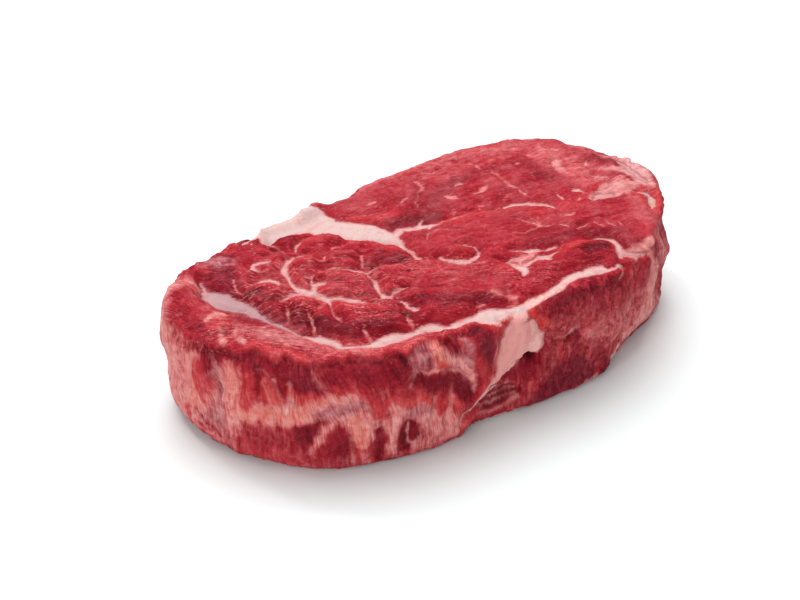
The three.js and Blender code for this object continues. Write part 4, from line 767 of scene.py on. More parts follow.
@dataclass
class Outline:
    """The plan outline as a closed curve, sampled evenly along its length."""

    points: Sequence[Pair] = OUTLINE
    shift: Pair = OUTLINE_SHIFT
    steps: int = 40
    places: np.ndarray = field(init=False)
    arcs: np.ndarray = field(init=False)
    length: float = field(init=False)

    def __post_init__(self) -> None:
        """Sample a centripetal curve through the points."""
        corners = np.array(self.points, float) + self.shift
        count = len(corners)
        parts = []
        for k in range(count):
            before, here, there, after = (corners[(k + i) % count] for i in (-1, 0, 1, 2))
            first, middle, last = (np.sqrt(np.linalg.norm(b - a))
                                   for a, b in ((before, here), (here, there), (there, after)))
            leave = middle * ((here - before) / first - (there - before) / (first + middle)
                              + (there - here) / middle)
            arrive = middle * ((there - here) / middle - (after - here) / (middle + last)
                               + (after - there) / last)
            share = np.arange(self.steps)[:, None] / self.steps
            parts.append(here + leave * share + (3 * (there - here) - 2 * leave - arrive) * share**2
                         + (2 * (here - there) + leave + arrive) * share**3)
        self.places = np.vstack(parts)
        runs = np.linalg.norm(np.roll(self.places, -1, axis=0) - self.places, axis=1)
        self.arcs = np.concatenate(([0], np.cumsum(runs[:-1])))
        self.length = float(runs.sum())

    def read(self, plan: np.ndarray) -> tuple[np.ndarray, np.ndarray]:
        """Place of each point of the plan against the outline.

        Args:
            plan: x and y, one row each.

        Returns:
            Arc of the nearest place, and how far inside the outline the point lies.
        """
        tree = KDTree(len(self.places))
        for index, (x, y) in enumerate(self.places):
            tree.insert((x, y, 0), index)
        tree.balance()
        nearest = np.array([tree.find((x, y, 0))[1] for x, y in plan])
        ahead = np.roll(self.places, -1, axis=0) - self.places
        ahead = (ahead / np.linalg.norm(ahead, axis=1)[:, None])[nearest]
        gap = plan - self.places[nearest]
        arcs = self.arcs[nearest] + np.einsum("ij,ij->i", gap, ahead)
        return arcs, gap[:, 1] * ahead[:, 0] - gap[:, 0] * ahead[:, 1]


@dataclass
class Sheets:
    """Where every point of the skin lies on the cut face's sheet and on the wall's."""

    outline: Outline
    places: np.ndarray
    normals: np.ndarray
    rim_reach: float = 11.0
    rim_gain: float = 0.7
    rim_foot: Pair = (24.0, 31.0)
    rim_rag: float = 0.7
    rim_hold: float = 0.7
    lip_fade: Pair = (-9.0, -4.0)
    face_tilt: Pair = (0.72, 0.38)
    flat_tilt: Pair = (0.15, 0.45)
    sheet_top: Pair = (42.5, 41.0)
    under_warp: Pair = (3.0, 9.0)
    wander: tuple[Pair, ...] = ((7.0, 0.8), (3.0, 0.55), (1.3, 0.25))
    seed: int = 7
    fringe: tuple[Triple, ...] = ((3.0, 14.0, 1.6), (1.0, 9.0, 0.6))
    plan: np.ndarray = field(init=False)
    side: np.ndarray = field(init=False)
    wall: np.ndarray = field(init=False)
    over_rim: np.ndarray = field(init=False)
    holds: dict[Sheet, np.ndarray] = field(init=False)
    strayed: dict[Sheet, np.ndarray] = field(init=False)

    def __post_init__(self) -> None:
        """Work out both places of each point and how far it belongs to the wall."""
        x, y, z = self.places.T
        under = z < THICKNESS / 2
        arcs, depth = self.outline.read(self.places[:, :2])
        height = z + self.rim_gain * np.clip(depth, 0, self.rim_reach) * smooth_step(*self.rim_foot, z)
        reach, wave = self.under_warp
        warp = np.stack([np.sin(y / wave), np.cos(x / wave)], 1) * reach
        self.plan = self.places[:, :2] + warp * under[:, None]
        self.side = np.stack([arcs, height], 1)
        self.strayed = {Sheet.CUT: self.plan.copy(), Sheet.WALL: self.side.copy()}
        noise.seed_set(self.seed)
        for size, reach in self.wander:
            stray = np.array([noise.noise_vector(place) for place in self.places / size])[:, :2] * reach
            self.strayed[Sheet.CUT] += stray
            self.strayed[Sheet.WALL] += stray
        for across, along, reach in self.fringe:
            combed = np.stack([arcs / across, height / along, 0 * z], 1)
            self.strayed[Sheet.WALL][:, 1] += reach * np.array([noise.noise(place) for place in combed])
        line = np.interp(arcs % self.outline.length, *zip(*RIM_LINE))
        self.over_rim = np.where(under, -THICKNESS, self.strayed[Sheet.WALL][:, 1] - line)
        foot = (smooth_step(*self.face_tilt, -self.normals[:, 2])
                * smooth_step(self.rim_reach, self.rim_reach * self.rim_hold, depth))
        self.wall = np.where(under, foot, smooth_step(self.rim_rag, -self.rim_rag, self.over_rim))
        tilt = self.normals[:, 2] * np.where(under, -1, 1)
        on_cut = np.where(under, 1, smooth_step(*self.lip_fade, self.over_rim))
        self.holds = {Sheet.CUT: smooth_step(*self.flat_tilt, tilt) * on_cut,
                      Sheet.WALL: np.where(under, foot, smooth_step(*self.sheet_top, height))}

    def on(self, sheet: Sheet, route: Route) -> np.ndarray:
        """Places of all points on a sheet, with arcs counted from the route's own stretch.

        Args:
            sheet: the sheet that the route is drawn on.
            route: the route's marks.

        Returns:
            Two numbers for each point.
        """
        places = self.strayed[sheet]
        if sheet is Sheet.CUT:
            return places
        middle = sum(mark[0] for mark in route) / len(route)
        turns = np.round((places[:, 0] - middle) / self.outline.length)
        return np.stack([places[:, 0] - turns * self.outline.length, places[:, 1]], 1)


@dataclass
class FarWall:
    """Strokes for the side away from the tongue, in the manner of the near side."""

    first: float = 4.0
    last: float = 182.0
    step: Pair = (3.0, 9.0)
    vein_step: Pair = (4.0, 16.0)
    vein_least: Quad = (2, 3, -0.4, 0.02)
    vein_most: Quad = (24, 16, 0.4, 0.3)
    vein_swell: tuple[Pair, ...] = ((0, 0.6), (0.5, 1), (1, 0.4))
    most: int = 80
    seed: int = 11
    foot: float = 3.0
    top: float = 35.0
    belt_height: float = 19.0
    belt_swing: float = 4.0
    belt_wave: float = 17.0
    belt_stray: float = 3.0
    belt_half: float = 3.0
    belt_shift: float = 2.2
    belt_gap: float = 5.0
    shift: float = 2.5
    lean: float = 0.16
    stray_width: float = 0.5
    cover: float = 0.85
    seam: Route = ((134, 37, 9), (134, 30, 7), (131, 22, 4.5), (130, 14, 3), (127, 7, 1.5), (126, 3, 0.6))

    def arcs(self, draw: np.random.Generator, step: Pair) -> np.ndarray:
        """Uneven places along the far side.

        Args:
            draw: source of chance.
            step: least and greatest gap.

        Returns:
            Their arcs.
        """
        places = self.first + np.cumsum(draw.uniform(*step, self.most))
        return places[places < self.last]

    def veins(self) -> list[Route]:
        """Thin lines that lean with the fibres.

        Returns:
            Their routes.
        """
        draw = np.random.default_rng(self.seed + 1)
        routes = []
        for arc in self.arcs(draw, self.vein_step):
            low, tall, lean, half = draw.uniform(self.vein_least, self.vein_most)
            routes.append(tuple((arc + lean * tall * share, low + tall * share, half * swell)
                                for share, swell in self.vein_swell))
        return routes

    def strokes(self) -> list[Stroke]:
        """Streaks high on the wall, a pale belt and dark ovals under it.

        Returns:
            The strokes, in the order that they are painted.
        """
        draw = np.random.default_rng(self.seed)
        upper = (Paint.CRIMSON, Paint.RED, Paint.DARK, Paint.BRIGHT, Paint.CRIMSON, Paint.LILAC)
        belt = (Paint.SALMON, Paint.BLUSH, Paint.LILAC, Paint.BLUSH, Paint.BRIGHT)
        lower = (Paint.DARK, Paint.CRIMSON, Paint.BLUSH, Paint.CRIMSON, Paint.BRIGHT)
        drawn = []
        for number, arc in enumerate(self.arcs(draw, self.step)):
            lean, foot, shift, wide = draw.uniform(-1, 1, 4)
            middle = self.belt_height + self.belt_swing * math.sin(arc / self.belt_wave)
            middle += self.belt_stray * foot
            for name, paints, low, high, half in (
                ("upper", upper, middle + self.belt_half, self.top, 2.6),
                ("belt", belt, middle - self.belt_half, middle + self.belt_half, 2.2),
                ("lower", lower, self.foot, middle - self.belt_gap, 2.4),
            ):
                at = arc + self.shift * shift + (self.belt_shift if name == "belt" else 0)
                half *= 1 + self.stray_width * wide
                route = tuple((at + self.lean * lean * (high - z), z, half * swell)
                              for z, swell in ((low, 0.7), ((low + high) / 2, 1), (high, 0.6)))
                paint = paints[int(draw.integers(len(paints)))]
                drawn.append(Stroke(f"far {name} {number}", paint, route, self.cover))
        return drawn


@dataclass
class Canvas:
    """The four painted values of every point, on one sheet and then on the skin."""

    tone: np.ndarray
    pale: np.ndarray
    tint: np.ndarray
    rise: np.ndarray

    @classmethod
    def blank(cls, count: int, tone: float, pale: float) -> "Canvas":
        """A canvas of one plain look.

        Args:
            count: number of points.
            tone: tone of all of them.
            pale: paleness of all of them.

        Returns:
            The canvas.
        """
        return cls(np.full(count, tone), np.full(count, pale), np.zeros(count), np.zeros(count))

    def lay(self, stroke: Stroke, places: np.ndarray) -> None:
        """Paint one stroke over what is there.

        Args:
            stroke: the stroke.
            places: the points' places on its sheet.
        """
        paint = stroke.paint
        soft = paint.soft(sum(mark[2] for mark in stroke.route) / len(stroke.route))
        cover = smooth_step(soft, -INNER_FADE * soft, edge_distance(places, stroke.route)) * stroke.cover
        for name in ("tone", "pale", "tint", "rise"):
            aim = getattr(paint, name)
            if aim is not None:
                values = getattr(self, name)
                setattr(self, name, values + (aim - values) * cover)

    def mixed(self, other: "Canvas", share: np.ndarray) -> "Canvas":
        """This canvas faded into another.

        Args:
            other: the canvas to fade into.
            share: how far, for each point.

        Returns:
            The mixed canvas.
        """
        return Canvas(*(getattr(self, name) * (1 - share) + getattr(other, name) * share
                        for name in ("tone", "pale", "tint", "rise")))


@dataclass
class Butcher:
    """Lays muscles, fat and paint over the skin and writes them as point attributes.

    The lip and the gutter are each a height over the rim, a width, a rise and a tone. The gutter's darker
    tone is painted shade under the lip.
    """

    sheets: Sheets
    web: float = 0.6
    reach: float = 5.0
    wall_grain: Pair = (5.5, 2.6)
    zone_jump: Pair = (37.0, 53.0)
    low_lean: float = 0.3
    calm_width: float = 2.4
    lip: Quad = (1.0, 1.3, 0.7, 0.4)
    gutter: Quad = (-1.5, 1.3, -0.6, -0.35)
    lip_gap: Pair = (-0.3, 1.2)
    wall_base: Pair = (-0.1, 0.15)
    wall_tone: float = 0.2

    def edges(self, routes: dict[Sheet, Sequence[Route]]) -> np.ndarray:
        """Distance from each point to the nearest edge of some strands, negative inside them.

        Args:
            routes: the strands' routes on each sheet.

        Returns:
            Millimetres, up to reach.
        """
        nearest = np.full(len(self.sheets.wall), self.reach)
        for sheet, chains in routes.items():
            joined = np.full(len(nearest), self.reach)
            for route in chains:
                apart = edge_distance(self.sheets.on(sheet, route), route)
                joined = blend_near(joined, np.minimum(apart, self.reach), self.web)
            nearest = blend_near(nearest, joined + 2 * self.reach * (1 - self.sheets.holds[sheet]), self.web)
        return np.minimum(nearest, self.reach)

    def fat(self) -> np.ndarray:
        """Distance to the nearest edge of thick fat."""
        return self.edges({Sheet.CUT: [strand.route for strand in CUT_STRANDS],
                           Sheet.WALL: [strand.route for strand in WALL_STRANDS] + [FarWall().seam]})

    def veins(self) -> np.ndarray:
        """Distance to the nearest edge of a thin vein."""
        cut = [route for family in CUT_VEINS for route in family.routes]
        wall = [route for family in WALL_VEINS for route in family.routes]
        return self.edges({Sheet.CUT: cut, Sheet.WALL: wall + FarWall().veins()})

    def grain(self) -> tuple[np.ndarray, ...]:
        """Grain places in bundle lengths and widths on both sheets, and each muscle's own look.

        Returns:
            Places on the cut face, places on the wall, coarseness, tone, and strength of the grain,
            which dies away where two muscles meet.
        """
        plan = self.sheets.strayed[Sheet.CUT]
        apart = np.array([edge_distance(plan, muscle.zone) for muscle in MUSCLES])
        nearest = np.argmin(apart, axis=0)
        first, second = np.sort(apart, axis=0)[:2]
        lively = smooth_step(0, self.calm_width, second - first)
        cut = np.zeros((len(plan), 3))
        for number, muscle in enumerate(MUSCLES):
            mine = nearest == number
            turn = math.radians(muscle.turn)
            along = self.sheets.plan[mine] @ (math.cos(turn), math.sin(turn)) / muscle.bundle[0]
            across = self.sheets.plan[mine] @ (-math.sin(turn), math.cos(turn)) / muscle.bundle[1]
            cut[mine, 0] = along + number * self.zone_jump[0]
            cut[mine, 1] = across + number * self.zone_jump[1]
        arc, height = self.sheets.side.T
        lean = np.interp(arc, *zip(*WALL_LEANS))
        down = THICKNESS / 2 - height
        straight = arc - lean * np.where(down < 0, down, self.low_lean * down)
        wall = np.stack([height / self.wall_grain[0], straight / self.wall_grain[1], 0 * arc], 1)
        coarse = np.array([muscle.coarse for muscle in MUSCLES])[nearest]
        tone = np.array([muscle.tone for muscle in MUSCLES])[nearest]
        streaky = np.interp(arc % self.sheets.outline.length, *zip(*STREAKY_WALL))
        return cut, wall, coarse, tone, lively + (streaky - lively) * self.sheets.wall

    def torn(self) -> np.ndarray:
        """How torn the rim is at each point's arc, from 0 to 1."""
        return np.interp(self.sheets.side[:, 0] % self.sheets.outline.length, *zip(*TORN_RIM))

    def paint(self, tone: np.ndarray, fat: np.ndarray) -> Canvas:
        """Paint both sheets and join them, with a torn lip and a gutter of painted shade under it where they
        meet.

        Args:
            tone: each point's own tone on the cut face.
            fat: distance to the nearest fat, which has no lip.

        Returns:
            The canvas over the whole skin.
        """
        count = len(self.sheets.wall)
        cut = Canvas.blank(count, 0.0, 0.0)
        cut.tone = tone.copy()
        for stroke in CUT_STROKES:
            cut.lay(stroke, self.sheets.on(Sheet.CUT, stroke.route))
        wall = Canvas.blank(count, *self.wall_base)
        for stroke in (*FarWall().strokes(), *WALL_STROKES):
            wall.lay(stroke, self.sheets.on(Sheet.WALL, stroke.route))
        wall.tone += self.wall_tone
        both = cut.mixed(wall, self.sheets.wall)
        bare = smooth_step(*self.lip_gap, fat) * self.torn()
        # The gutter's darker tone is painted shade under the lip.
        for above, width, rise, tone in (self.lip, self.gutter):
            near = np.exp(-((self.sheets.over_rim - above) / width) ** 2) * bare
            both.rise += rise * near
            both.tone += tone * near
        return both

    def zones(self, zones: Sequence[Zone]) -> np.ndarray:
        """Strength of a fine pattern.

        Args:
            zones: where it shows.

        Returns:
            From 0 to 1 for each point.
        """
        strength = np.zeros(len(self.sheets.wall))
        for zone in zones:
            held = self.sheets.wall if zone.sheet is Sheet.WALL else 1 - self.sheets.wall
            apart = edge_distance(self.sheets.on(zone.sheet, zone.route), zone.route)
            strength = np.maximum(strength, smooth_step(zone.soft, 0, apart) * held * zone.strength)
        return strength

    def dress(self, mesh: bpy.types.Mesh) -> None:
        """Write every attribute that the relief and the material read.

        Args:
            mesh: the skin's mesh, with its points in the sheets' order.
        """
        cut, wall, coarse, tone, lively = self.grain()
        fat = self.fat()
        canvas = self.paint(tone, fat)
        numbers = {"wall": self.sheets.wall, "fat": fat, "vein": self.veins(), "coarse": coarse,
                   "lively": lively, "tone": canvas.tone, "pale": canvas.pale, "tint": canvas.tint,
                   "rise": canvas.rise,
                   "net": self.zones(NETS), "fray": self.zones(FRAYS), "torn": self.torn()}
        for name, values in numbers.items():
            mesh.attributes.new(name, "FLOAT", "POINT").data.foreach_set("value", values.astype(np.float32))
        for name, values in (("grain_cut", cut), ("grain_wall", wall)):
            attribute = mesh.attributes.new(name, "FLOAT_VECTOR", "POINT")
            attribute.data.foreach_set("vector", values.astype(np.float32).ravel())


@dataclass
class NodeBench:
    """A short way to build a node tree of either kind."""

    tree: bpy.types.NodeTree
    column: int = 0

    def add(self, kind: str, inputs: Optional[Inputs] = None, **settings: object) -> bpy.types.Node:
        """Add a node.

        Args:
            kind: Blender's name of the node's type.
            inputs: values or links of its inputs, by name or place.
            settings: its properties.

        Returns:
            The node.
        """
        node = self.tree.nodes.new(kind)
        node.location = (190 * self.column, 0)
        self.column += 1
        for name, value in settings.items():
            setattr(node, name, value)
        for name, value in (inputs or {}).items():
            self.feed(node.inputs[name], value)
        return node

    def feed(self, socket: Socket, value: Value) -> None:
        """Link a socket, or set its value.

        Args:
            socket: the input.
            value: an output to link, or a plain value.
        """
        if isinstance(value, bpy.types.NodeSocket):
            self.tree.links.new(value, socket)
        else:
            socket.default_value = value

    def math(self, work: str, first: Value, second: Value = 0.5, clamp: bool = False) -> Socket:
        """One operation of the Math node on two numbers.

        Args:
            work: the Math node's operation.
            first: first number.
            second: second number.
            clamp: whether the result stays from 0 to 1.

        Returns:
            The result.
        """
        return self.add("ShaderNodeMath", {0: first, 1: second}, operation=work, use_clamp=clamp).outputs[0]

    def plus(self, first: Value, second: Value, clamp: bool = False) -> Socket:
        """Sum of two numbers, kept from 0 to 1 if clamp is set."""
        return self.math("ADD", first, second, clamp)

    def minus(self, first: Value, second: Value) -> Socket:
        """The first number less the second."""
        return self.math("SUBTRACT", first, second)

    def times(self, first: Value, second: Value) -> Socket:
        """Product of two numbers."""
        return self.math("MULTIPLY", first, second)

    def total(self, terms: Sequence[Value]) -> Value:
        """Sum of some numbers, added in their order.

        Args:
            terms: the numbers.

        Returns:
            The sum.
        """
        total = terms[0]
        for term in terms[1:]:
            total = self.plus(total, term)
        return total

    def swing(self, value: Value, reach: Value) -> Socket:
        """How far a number from 0 to 1 is from its middle, times a reach."""
        return self.times(self.minus(value, 0.5), reach)

    def scaled(self, vector: Value, scale: Sequence[float]) -> Socket:
        """A vector times a scale for each axis.

        Args:
            vector: the vector.
            scale: three factors.

        Returns:
            The product.
        """
        return self.add("ShaderNodeVectorMath", {0: vector, 1: scale}, operation="MULTIPLY").outputs[0]

    def fade(self, value: Value, low: float, high: float, bottom: float = 0.0, top: float = 1.0) -> Socket:
        """A smooth step from bottom at low to top at high.

        Args:
            value: the number to fade.
            low: where the step starts.
            high: where it ends.
            bottom: result at low.
            top: result at high.

        Returns:
            The faded number.
        """
        inputs = {"Value": value, "From Min": low, "From Max": high, "To Min": bottom, "To Max": top}
        return self.add("ShaderNodeMapRange", inputs, interpolation_type="SMOOTHSTEP").outputs[0]

    def noise(self, place: Value, scale: Value, detail: float = 2.0, rough: float = 0.5,
              axes: int = 3) -> Socket:
        """Noise from 0 to 1.

        Args:
            place: where it is read.
            scale: waves for each unit.
            detail: how many finer waves lie on it.
            rough: strength of the finer waves.
            axes: how many of the place's axes count, 2 or 3.

        Returns:
            The noise.
        """
        inputs = {"Vector": place, "Scale": scale, "Detail": detail, "Roughness": rough}
        return self.add("ShaderNodeTexNoise", inputs, noise_dimensions=f"{axes}D").outputs[0]

    def mix(self, share: Value, first: Value, second: Value) -> Socket:
        """Mix two numbers.

        Args:
            share: share of the second.
            first: first number.
            second: second number.

        Returns:
            The mixed number.
        """
        return self.add("ShaderNodeMix", {0: share, 2: first, 3: second}, data_type="FLOAT").outputs[0]

    def tinge(self, share: Value, first: Value, second: Value) -> Socket:
        """Mix two colours.

        Args:
            share: share of the second.
            first: first colour.
            second: second colour.

        Returns:
            The mixed colour.
        """
        return self.add("ShaderNodeMix", {0: share, 6: first, 7: second}, data_type="RGBA").outputs[2]


@dataclass(frozen=True)
class GrainPattern:
    """Muscle grain in bundle units: the first axis runs along the fibres, the second across them."""

    wander: float = 0.8
    wander_scale: float = 0.6
    waves: tuple[tuple[str, Triple, float], ...] = (
        ("Fibre", (1.5, 7.5, 1), 0.6), ("Ridge", (0.9, 3.1, 1), 0.55), ("Streak", (0.45, 1.35, 1), 0.55),
    )
    fleck_run: Triple = (3.2, 8.5, 1)
    clump_scale: float = 0.35
    bundle_scale: float = 0.8
    looks: tuple[str, ...] = ("Fibre", "Ridge", "Streak", "Fleck", "Clump", "Edge")

    def weave(self, bench: NodeBench, place: Value) -> Looks:
        """Build the pattern in a tree of either kind.

        Args:
            bench: the tree to build in.
            place: grain place.

        Returns:
            Fine fibres, ridges, broad streaks, short flecks, soft clumps and the distance to the
            edge of a bundle, by name.
        """
        swirl = bench.add("ShaderNodeTexNoise", {"Vector": place, "Scale": self.wander_scale, "Detail": 2.0},
                          noise_dimensions="2D").outputs["Color"]
        middle = {0: swirl, 1: (0.5, 0.5, 0.5)}
        centred = bench.add("ShaderNodeVectorMath", middle, operation="SUBTRACT").outputs[0]

        def moved(reach: float) -> Socket:
            """Grain place moved by the swirl, up to a reach."""
            inputs = {0: centred, 1: (reach,) * 3, 2: place}
            return bench.add("ShaderNodeVectorMath", inputs, operation="MULTIPLY_ADD").outputs[0]

        bent = moved(self.wander)
        looks = {name: bench.noise(bench.scaled(bent, run), 1.0, 2.0, rough, axes=2)
                 for name, run, rough in self.waves}
        looks["Fleck"] = bench.noise(bench.scaled(place, self.fleck_run), 1.0, 1.0, axes=2)
        looks["Clump"] = bench.noise(bent, self.clump_scale, 1.0, axes=2)
        bundles = {"Vector": moved(2 * self.wander), "Scale": self.bundle_scale}
        looks["Edge"] = bench.add("ShaderNodeTexVoronoi", bundles, voronoi_dimensions="2D",
                                  feature="DISTANCE_TO_EDGE").outputs["Distance"]
        return looks

    def group(self) -> bpy.types.NodeTree:
        """The pattern as a shader node group.

        Returns:
            The group, with the grain place as its input.
        """
        tree = bpy.data.node_groups.new("muscle grain", "ShaderNodeTree")
        tree.interface.new_socket("Place", in_out="INPUT", socket_type="NodeSocketVector")
        for look in self.looks:
            tree.interface.new_socket(look, in_out="OUTPUT", socket_type="NodeSocketFloat")
        bench = NodeBench(tree)
        entry = bench.add("NodeGroupInput")
        bench.add("NodeGroupOutput", self.weave(bench, entry.outputs["Place"]))
        return tree


def paint_colour(red: int, green: int, blue: int) -> Colour:
    """A colour named by display values from 0 to 255.

    Args:
        red: red on a display.
        green: green on a display.
        blue: blue on a display.

    Returns:
        The colour as Blender keeps it.
    """
    parts = (value / 255 for value in (red, green, blue))
    return (*(v / 12.92 if v <= 0.04045 else ((v + 0.055) / 1.055) ** 2.4 for v in parts), 1.0)


@dataclass(frozen=True)
class RawMeat:
    """Moist raw beef: red muscle, pale membrane and cream fat in one finish.

    A Noise is its scale, detail and roughness. A Fade is its two ends and, where they aren't 0 and
    1, what it gives at them. Names that end in "on" hold values away from a thing and on it. The
    swings are a look's weights on fine muscle, on coarse muscle and on the wall.
    """

    name: str = "raw beef"
    reds: tuple[tuple[float, Colour], ...] = (
        (0.0, paint_colour(92, 12, 24)), (0.28, paint_colour(126, 18, 32)), (0.52, paint_colour(163, 31, 45)),
        (0.76, paint_colour(190, 58, 67)), (1.0, paint_colour(214, 110, 112)),
    )
    orange: Colour = paint_colour(206, 46, 34)
    purple: Colour = paint_colour(112, 30, 50)
    blush: Colour = paint_colour(232, 146, 142)
    salmon: Colour = paint_colour(226, 122, 108)
    lilac: Colour = paint_colour(184, 104, 112)
    white: Colour = paint_colour(240, 205, 200)
    fat: Colour = paint_colour(210, 179, 175)
    thin_fat: Colour = paint_colour(206, 126, 128)
    haze: Colour = paint_colour(204, 112, 118)
    tongue: Colour = paint_colour(255, 190, 182)
    peach: Colour = paint_colour(216, 164, 138)
    flush: Colour = paint_colour(206, 92, 86)
    grey_film: Colour = paint_colour(166, 128, 134)

    damp_noise: Noise = (210.0, 2.0, 0.5)
    glint_noise: Noise = (900.0, 2.0, 0.5)
    mottle_noise: Noise = (520.0, 3.0, 0.6)
    speckle_noise: Noise = (1300.0, 2.0, 0.7)
    fold_noise: Noise = (420.0, 3.0, 0.6)
    haze_noise: Noise = (130.0, 5.0, 0.65)
    broken_noise: Noise = (260.0, 2.0, 0.5)
    fold_run: Triple = (1, 1, 0.5)
    fold_width: float = 0.05

    damp_rough: Fade = (0.35, 0.65, 0.3, 0.5)
    fat_rough: float = 0.1
    damp_gloss: Fade = (0.4, 0.6, 0.2, 1.0)
    glint_gloss: Fade = (0.54, 0.64, 0.06, 0.65)
    fine_gloss: float = 0.5
    wall_gloss: float = 0.1
    coat_rough: float = 0.16
    shine: float = 0.03
    glow: float = 0.2
    glow_radius: Triple = (1.0, 0.3, 0.2)
    glow_depth: float = 1.4
    bumps_fat_on: tuple[tuple[str, float, float], ...] = (
        ("Fibre", 0.25, 0.08), ("Ridge", 0.5, 0.15), ("Mottle", 0.3, 0.15),
    )
    speckle_bump: float = 0.25
    crinkle_bump: float = 0.7
    bump_strength: float = 0.8
    bump_depth: float = 0.9

    swings: tuple[tuple[str, float, float, float], ...] = (
        ("Fibre", 0.3, 0.6, 0.3), ("Ridge", 0.2, 1.0, 0.6), ("Streak", 0.35, 0.8, 0.8),
        ("Clump", 0.45, 0.7, 0.6), ("Mottle", 0.6, 0.6, 0.9), ("Blotch", 0.0, 0.0, 2.8),
        ("Speckle", 0.7, 1.0, 0.8),
    )
    # Painted shade: coarse muscle is darker in the hollows between its ridges.
    crease_shade_fade: Fade = (0.42, 0.3)
    crease_shade_depth: float = 0.32
    crinkle_shade: float = 0.6
    orange_share: float = 0.6
    purple_share: float = 0.5

    white_fade: Fade = (0.86, 1.0)
    rags: Weights = (("Ridge", 0.3), ("Streak", 0.5), ("Fibre", 0.3), ("Mottle", 0.8))
    rag_fade: Fade = (0.05, 0.4, 0.45, 1.0)
    pale_fade: Fade = (0.02, 1.0)
    lines: Weights = (("Ridge", 0.5), ("Mottle", 0.9), ("Fibre", 0.5))
    line_base: float = 0.08
    flush_rag: Weights = (("Fibre", 0.6),)
    flush_fade: Fade = (0.5, 0.3, 0.0, 0.55)

    haze_fade: Fade = (0.4, 0.68, 0.02, 0.3)
    calm_fade: Fade = (0.32, 0.5, 1.0, 0.1)
    calm_wall: float = 0.2
    web_rag: Weights = (("Fibre", 0.15),)
    web_fade: Fade = (0.24, 0.02)
    thread_fade: Fade = (0.06, 0.01)
    web_share: float = 0.6
    # Pale flecks along the grain: partly fat and partly painted glints on the wet fibres.
    fleck_and_glint_fade: Fade = (0.66, 0.78, 0.0)
    fleck_and_glint_wall_on: Pair = (0.45, 0.15)
    dot_rag: Weights = (("Fibre", 1.4),)
    dot_fade: Fade = (0.6, 0.76)
    dot_share: float = 0.75

    tears: Weights = (("Fibre", 0.9), ("Fleck", 0.9))
    coarse_tears: Weights = (("Mottle", 1.2),)
    vein_width_wall_on: Pair = (0.4, 0.8)
    vein_core: float = -0.3
    vein_share_wall_on: Pair = (0.75, 0.6)
    vein_gaps: Fade = (0.38, 0.58, 0.3, 1.0)
    vein_fat: float = 0.7
    fat_edge_coarse_on: Pair = (0.25, 0.4)
    fat_core_coarse_on: Pair = (-0.2, -0.3)
    fat_depth_coarse_on: Pair = (-1.0, -1.3)
    tongue_fade: Fade = (33 * MM, 37 * MM, 0.9, 0.2)
    peach_wall_on: Pair = (0.9, 0.0)
    grey_share: float = 0.75
    blushed_fade: Fade = (0.1, 0.6)
    blushed_cool_on: Pair = (0.5, 0.1)
    blushed_wall: float = 0.25
    fat_streaks: Fade = (0.5, 0.72, 0.0, 0.3)
    fat_mottle: Fade = (0.5, 0.75, 0.0, 0.35)

    def material(self) -> bpy.types.Material:
        """Build the finish.

        Returns:
            The material.
        """
        material = bpy.data.materials.new(self.name)
        material.use_nodes = True
        material.node_tree.nodes.clear()
        bench = NodeBench(material.node_tree)
        looks = self.read(bench)
        colour, fat = self.colour(bench, looks)
        damp = bench.noise(looks["Object"], *self.damp_noise)
        rough = bench.plus(bench.fade(damp, *self.damp_rough), bench.times(fat, self.fat_rough))
        parts = [bench.times(looks[look], bench.mix(fat, *shares))
                 for look, *shares in self.bumps_fat_on]
        parts.append(bench.times(looks["Speckle"], self.speckle_bump))
        height = bench.minus(bench.total(parts), bench.times(looks["Crinkle"], self.crinkle_bump))
        bump = bench.add("ShaderNodeBump", {"Height": height, "Strength": self.bump_strength,
                                            "Distance": self.bump_depth * MM}).outputs[0]
        glint = bench.noise(looks["Object"], *self.glint_noise)
        gloss = bench.times(bench.fade(glint, *self.glint_gloss), bench.fade(damp, *self.damp_gloss))
        cut_gloss = bench.mix(looks["coarse"], self.fine_gloss, 1.0)
        gloss = bench.times(gloss, bench.mix(looks["wall"], cut_gloss, self.wall_gloss))
        skin = bench.add("ShaderNodeBsdfPrincipled", {
            "Base Color": colour, "Roughness": rough, "Normal": bump, "Specular IOR Level": self.shine,
            "Coat Weight": gloss, "Coat Normal": bump, "Coat Roughness": self.coat_rough,
            "Subsurface Weight": self.glow, "Subsurface Radius": self.glow_radius,
            "Subsurface Scale": self.glow_depth * MM,
        })
        bench.add("ShaderNodeOutputMaterial", {"Surface": skin.outputs[0]})
        return material

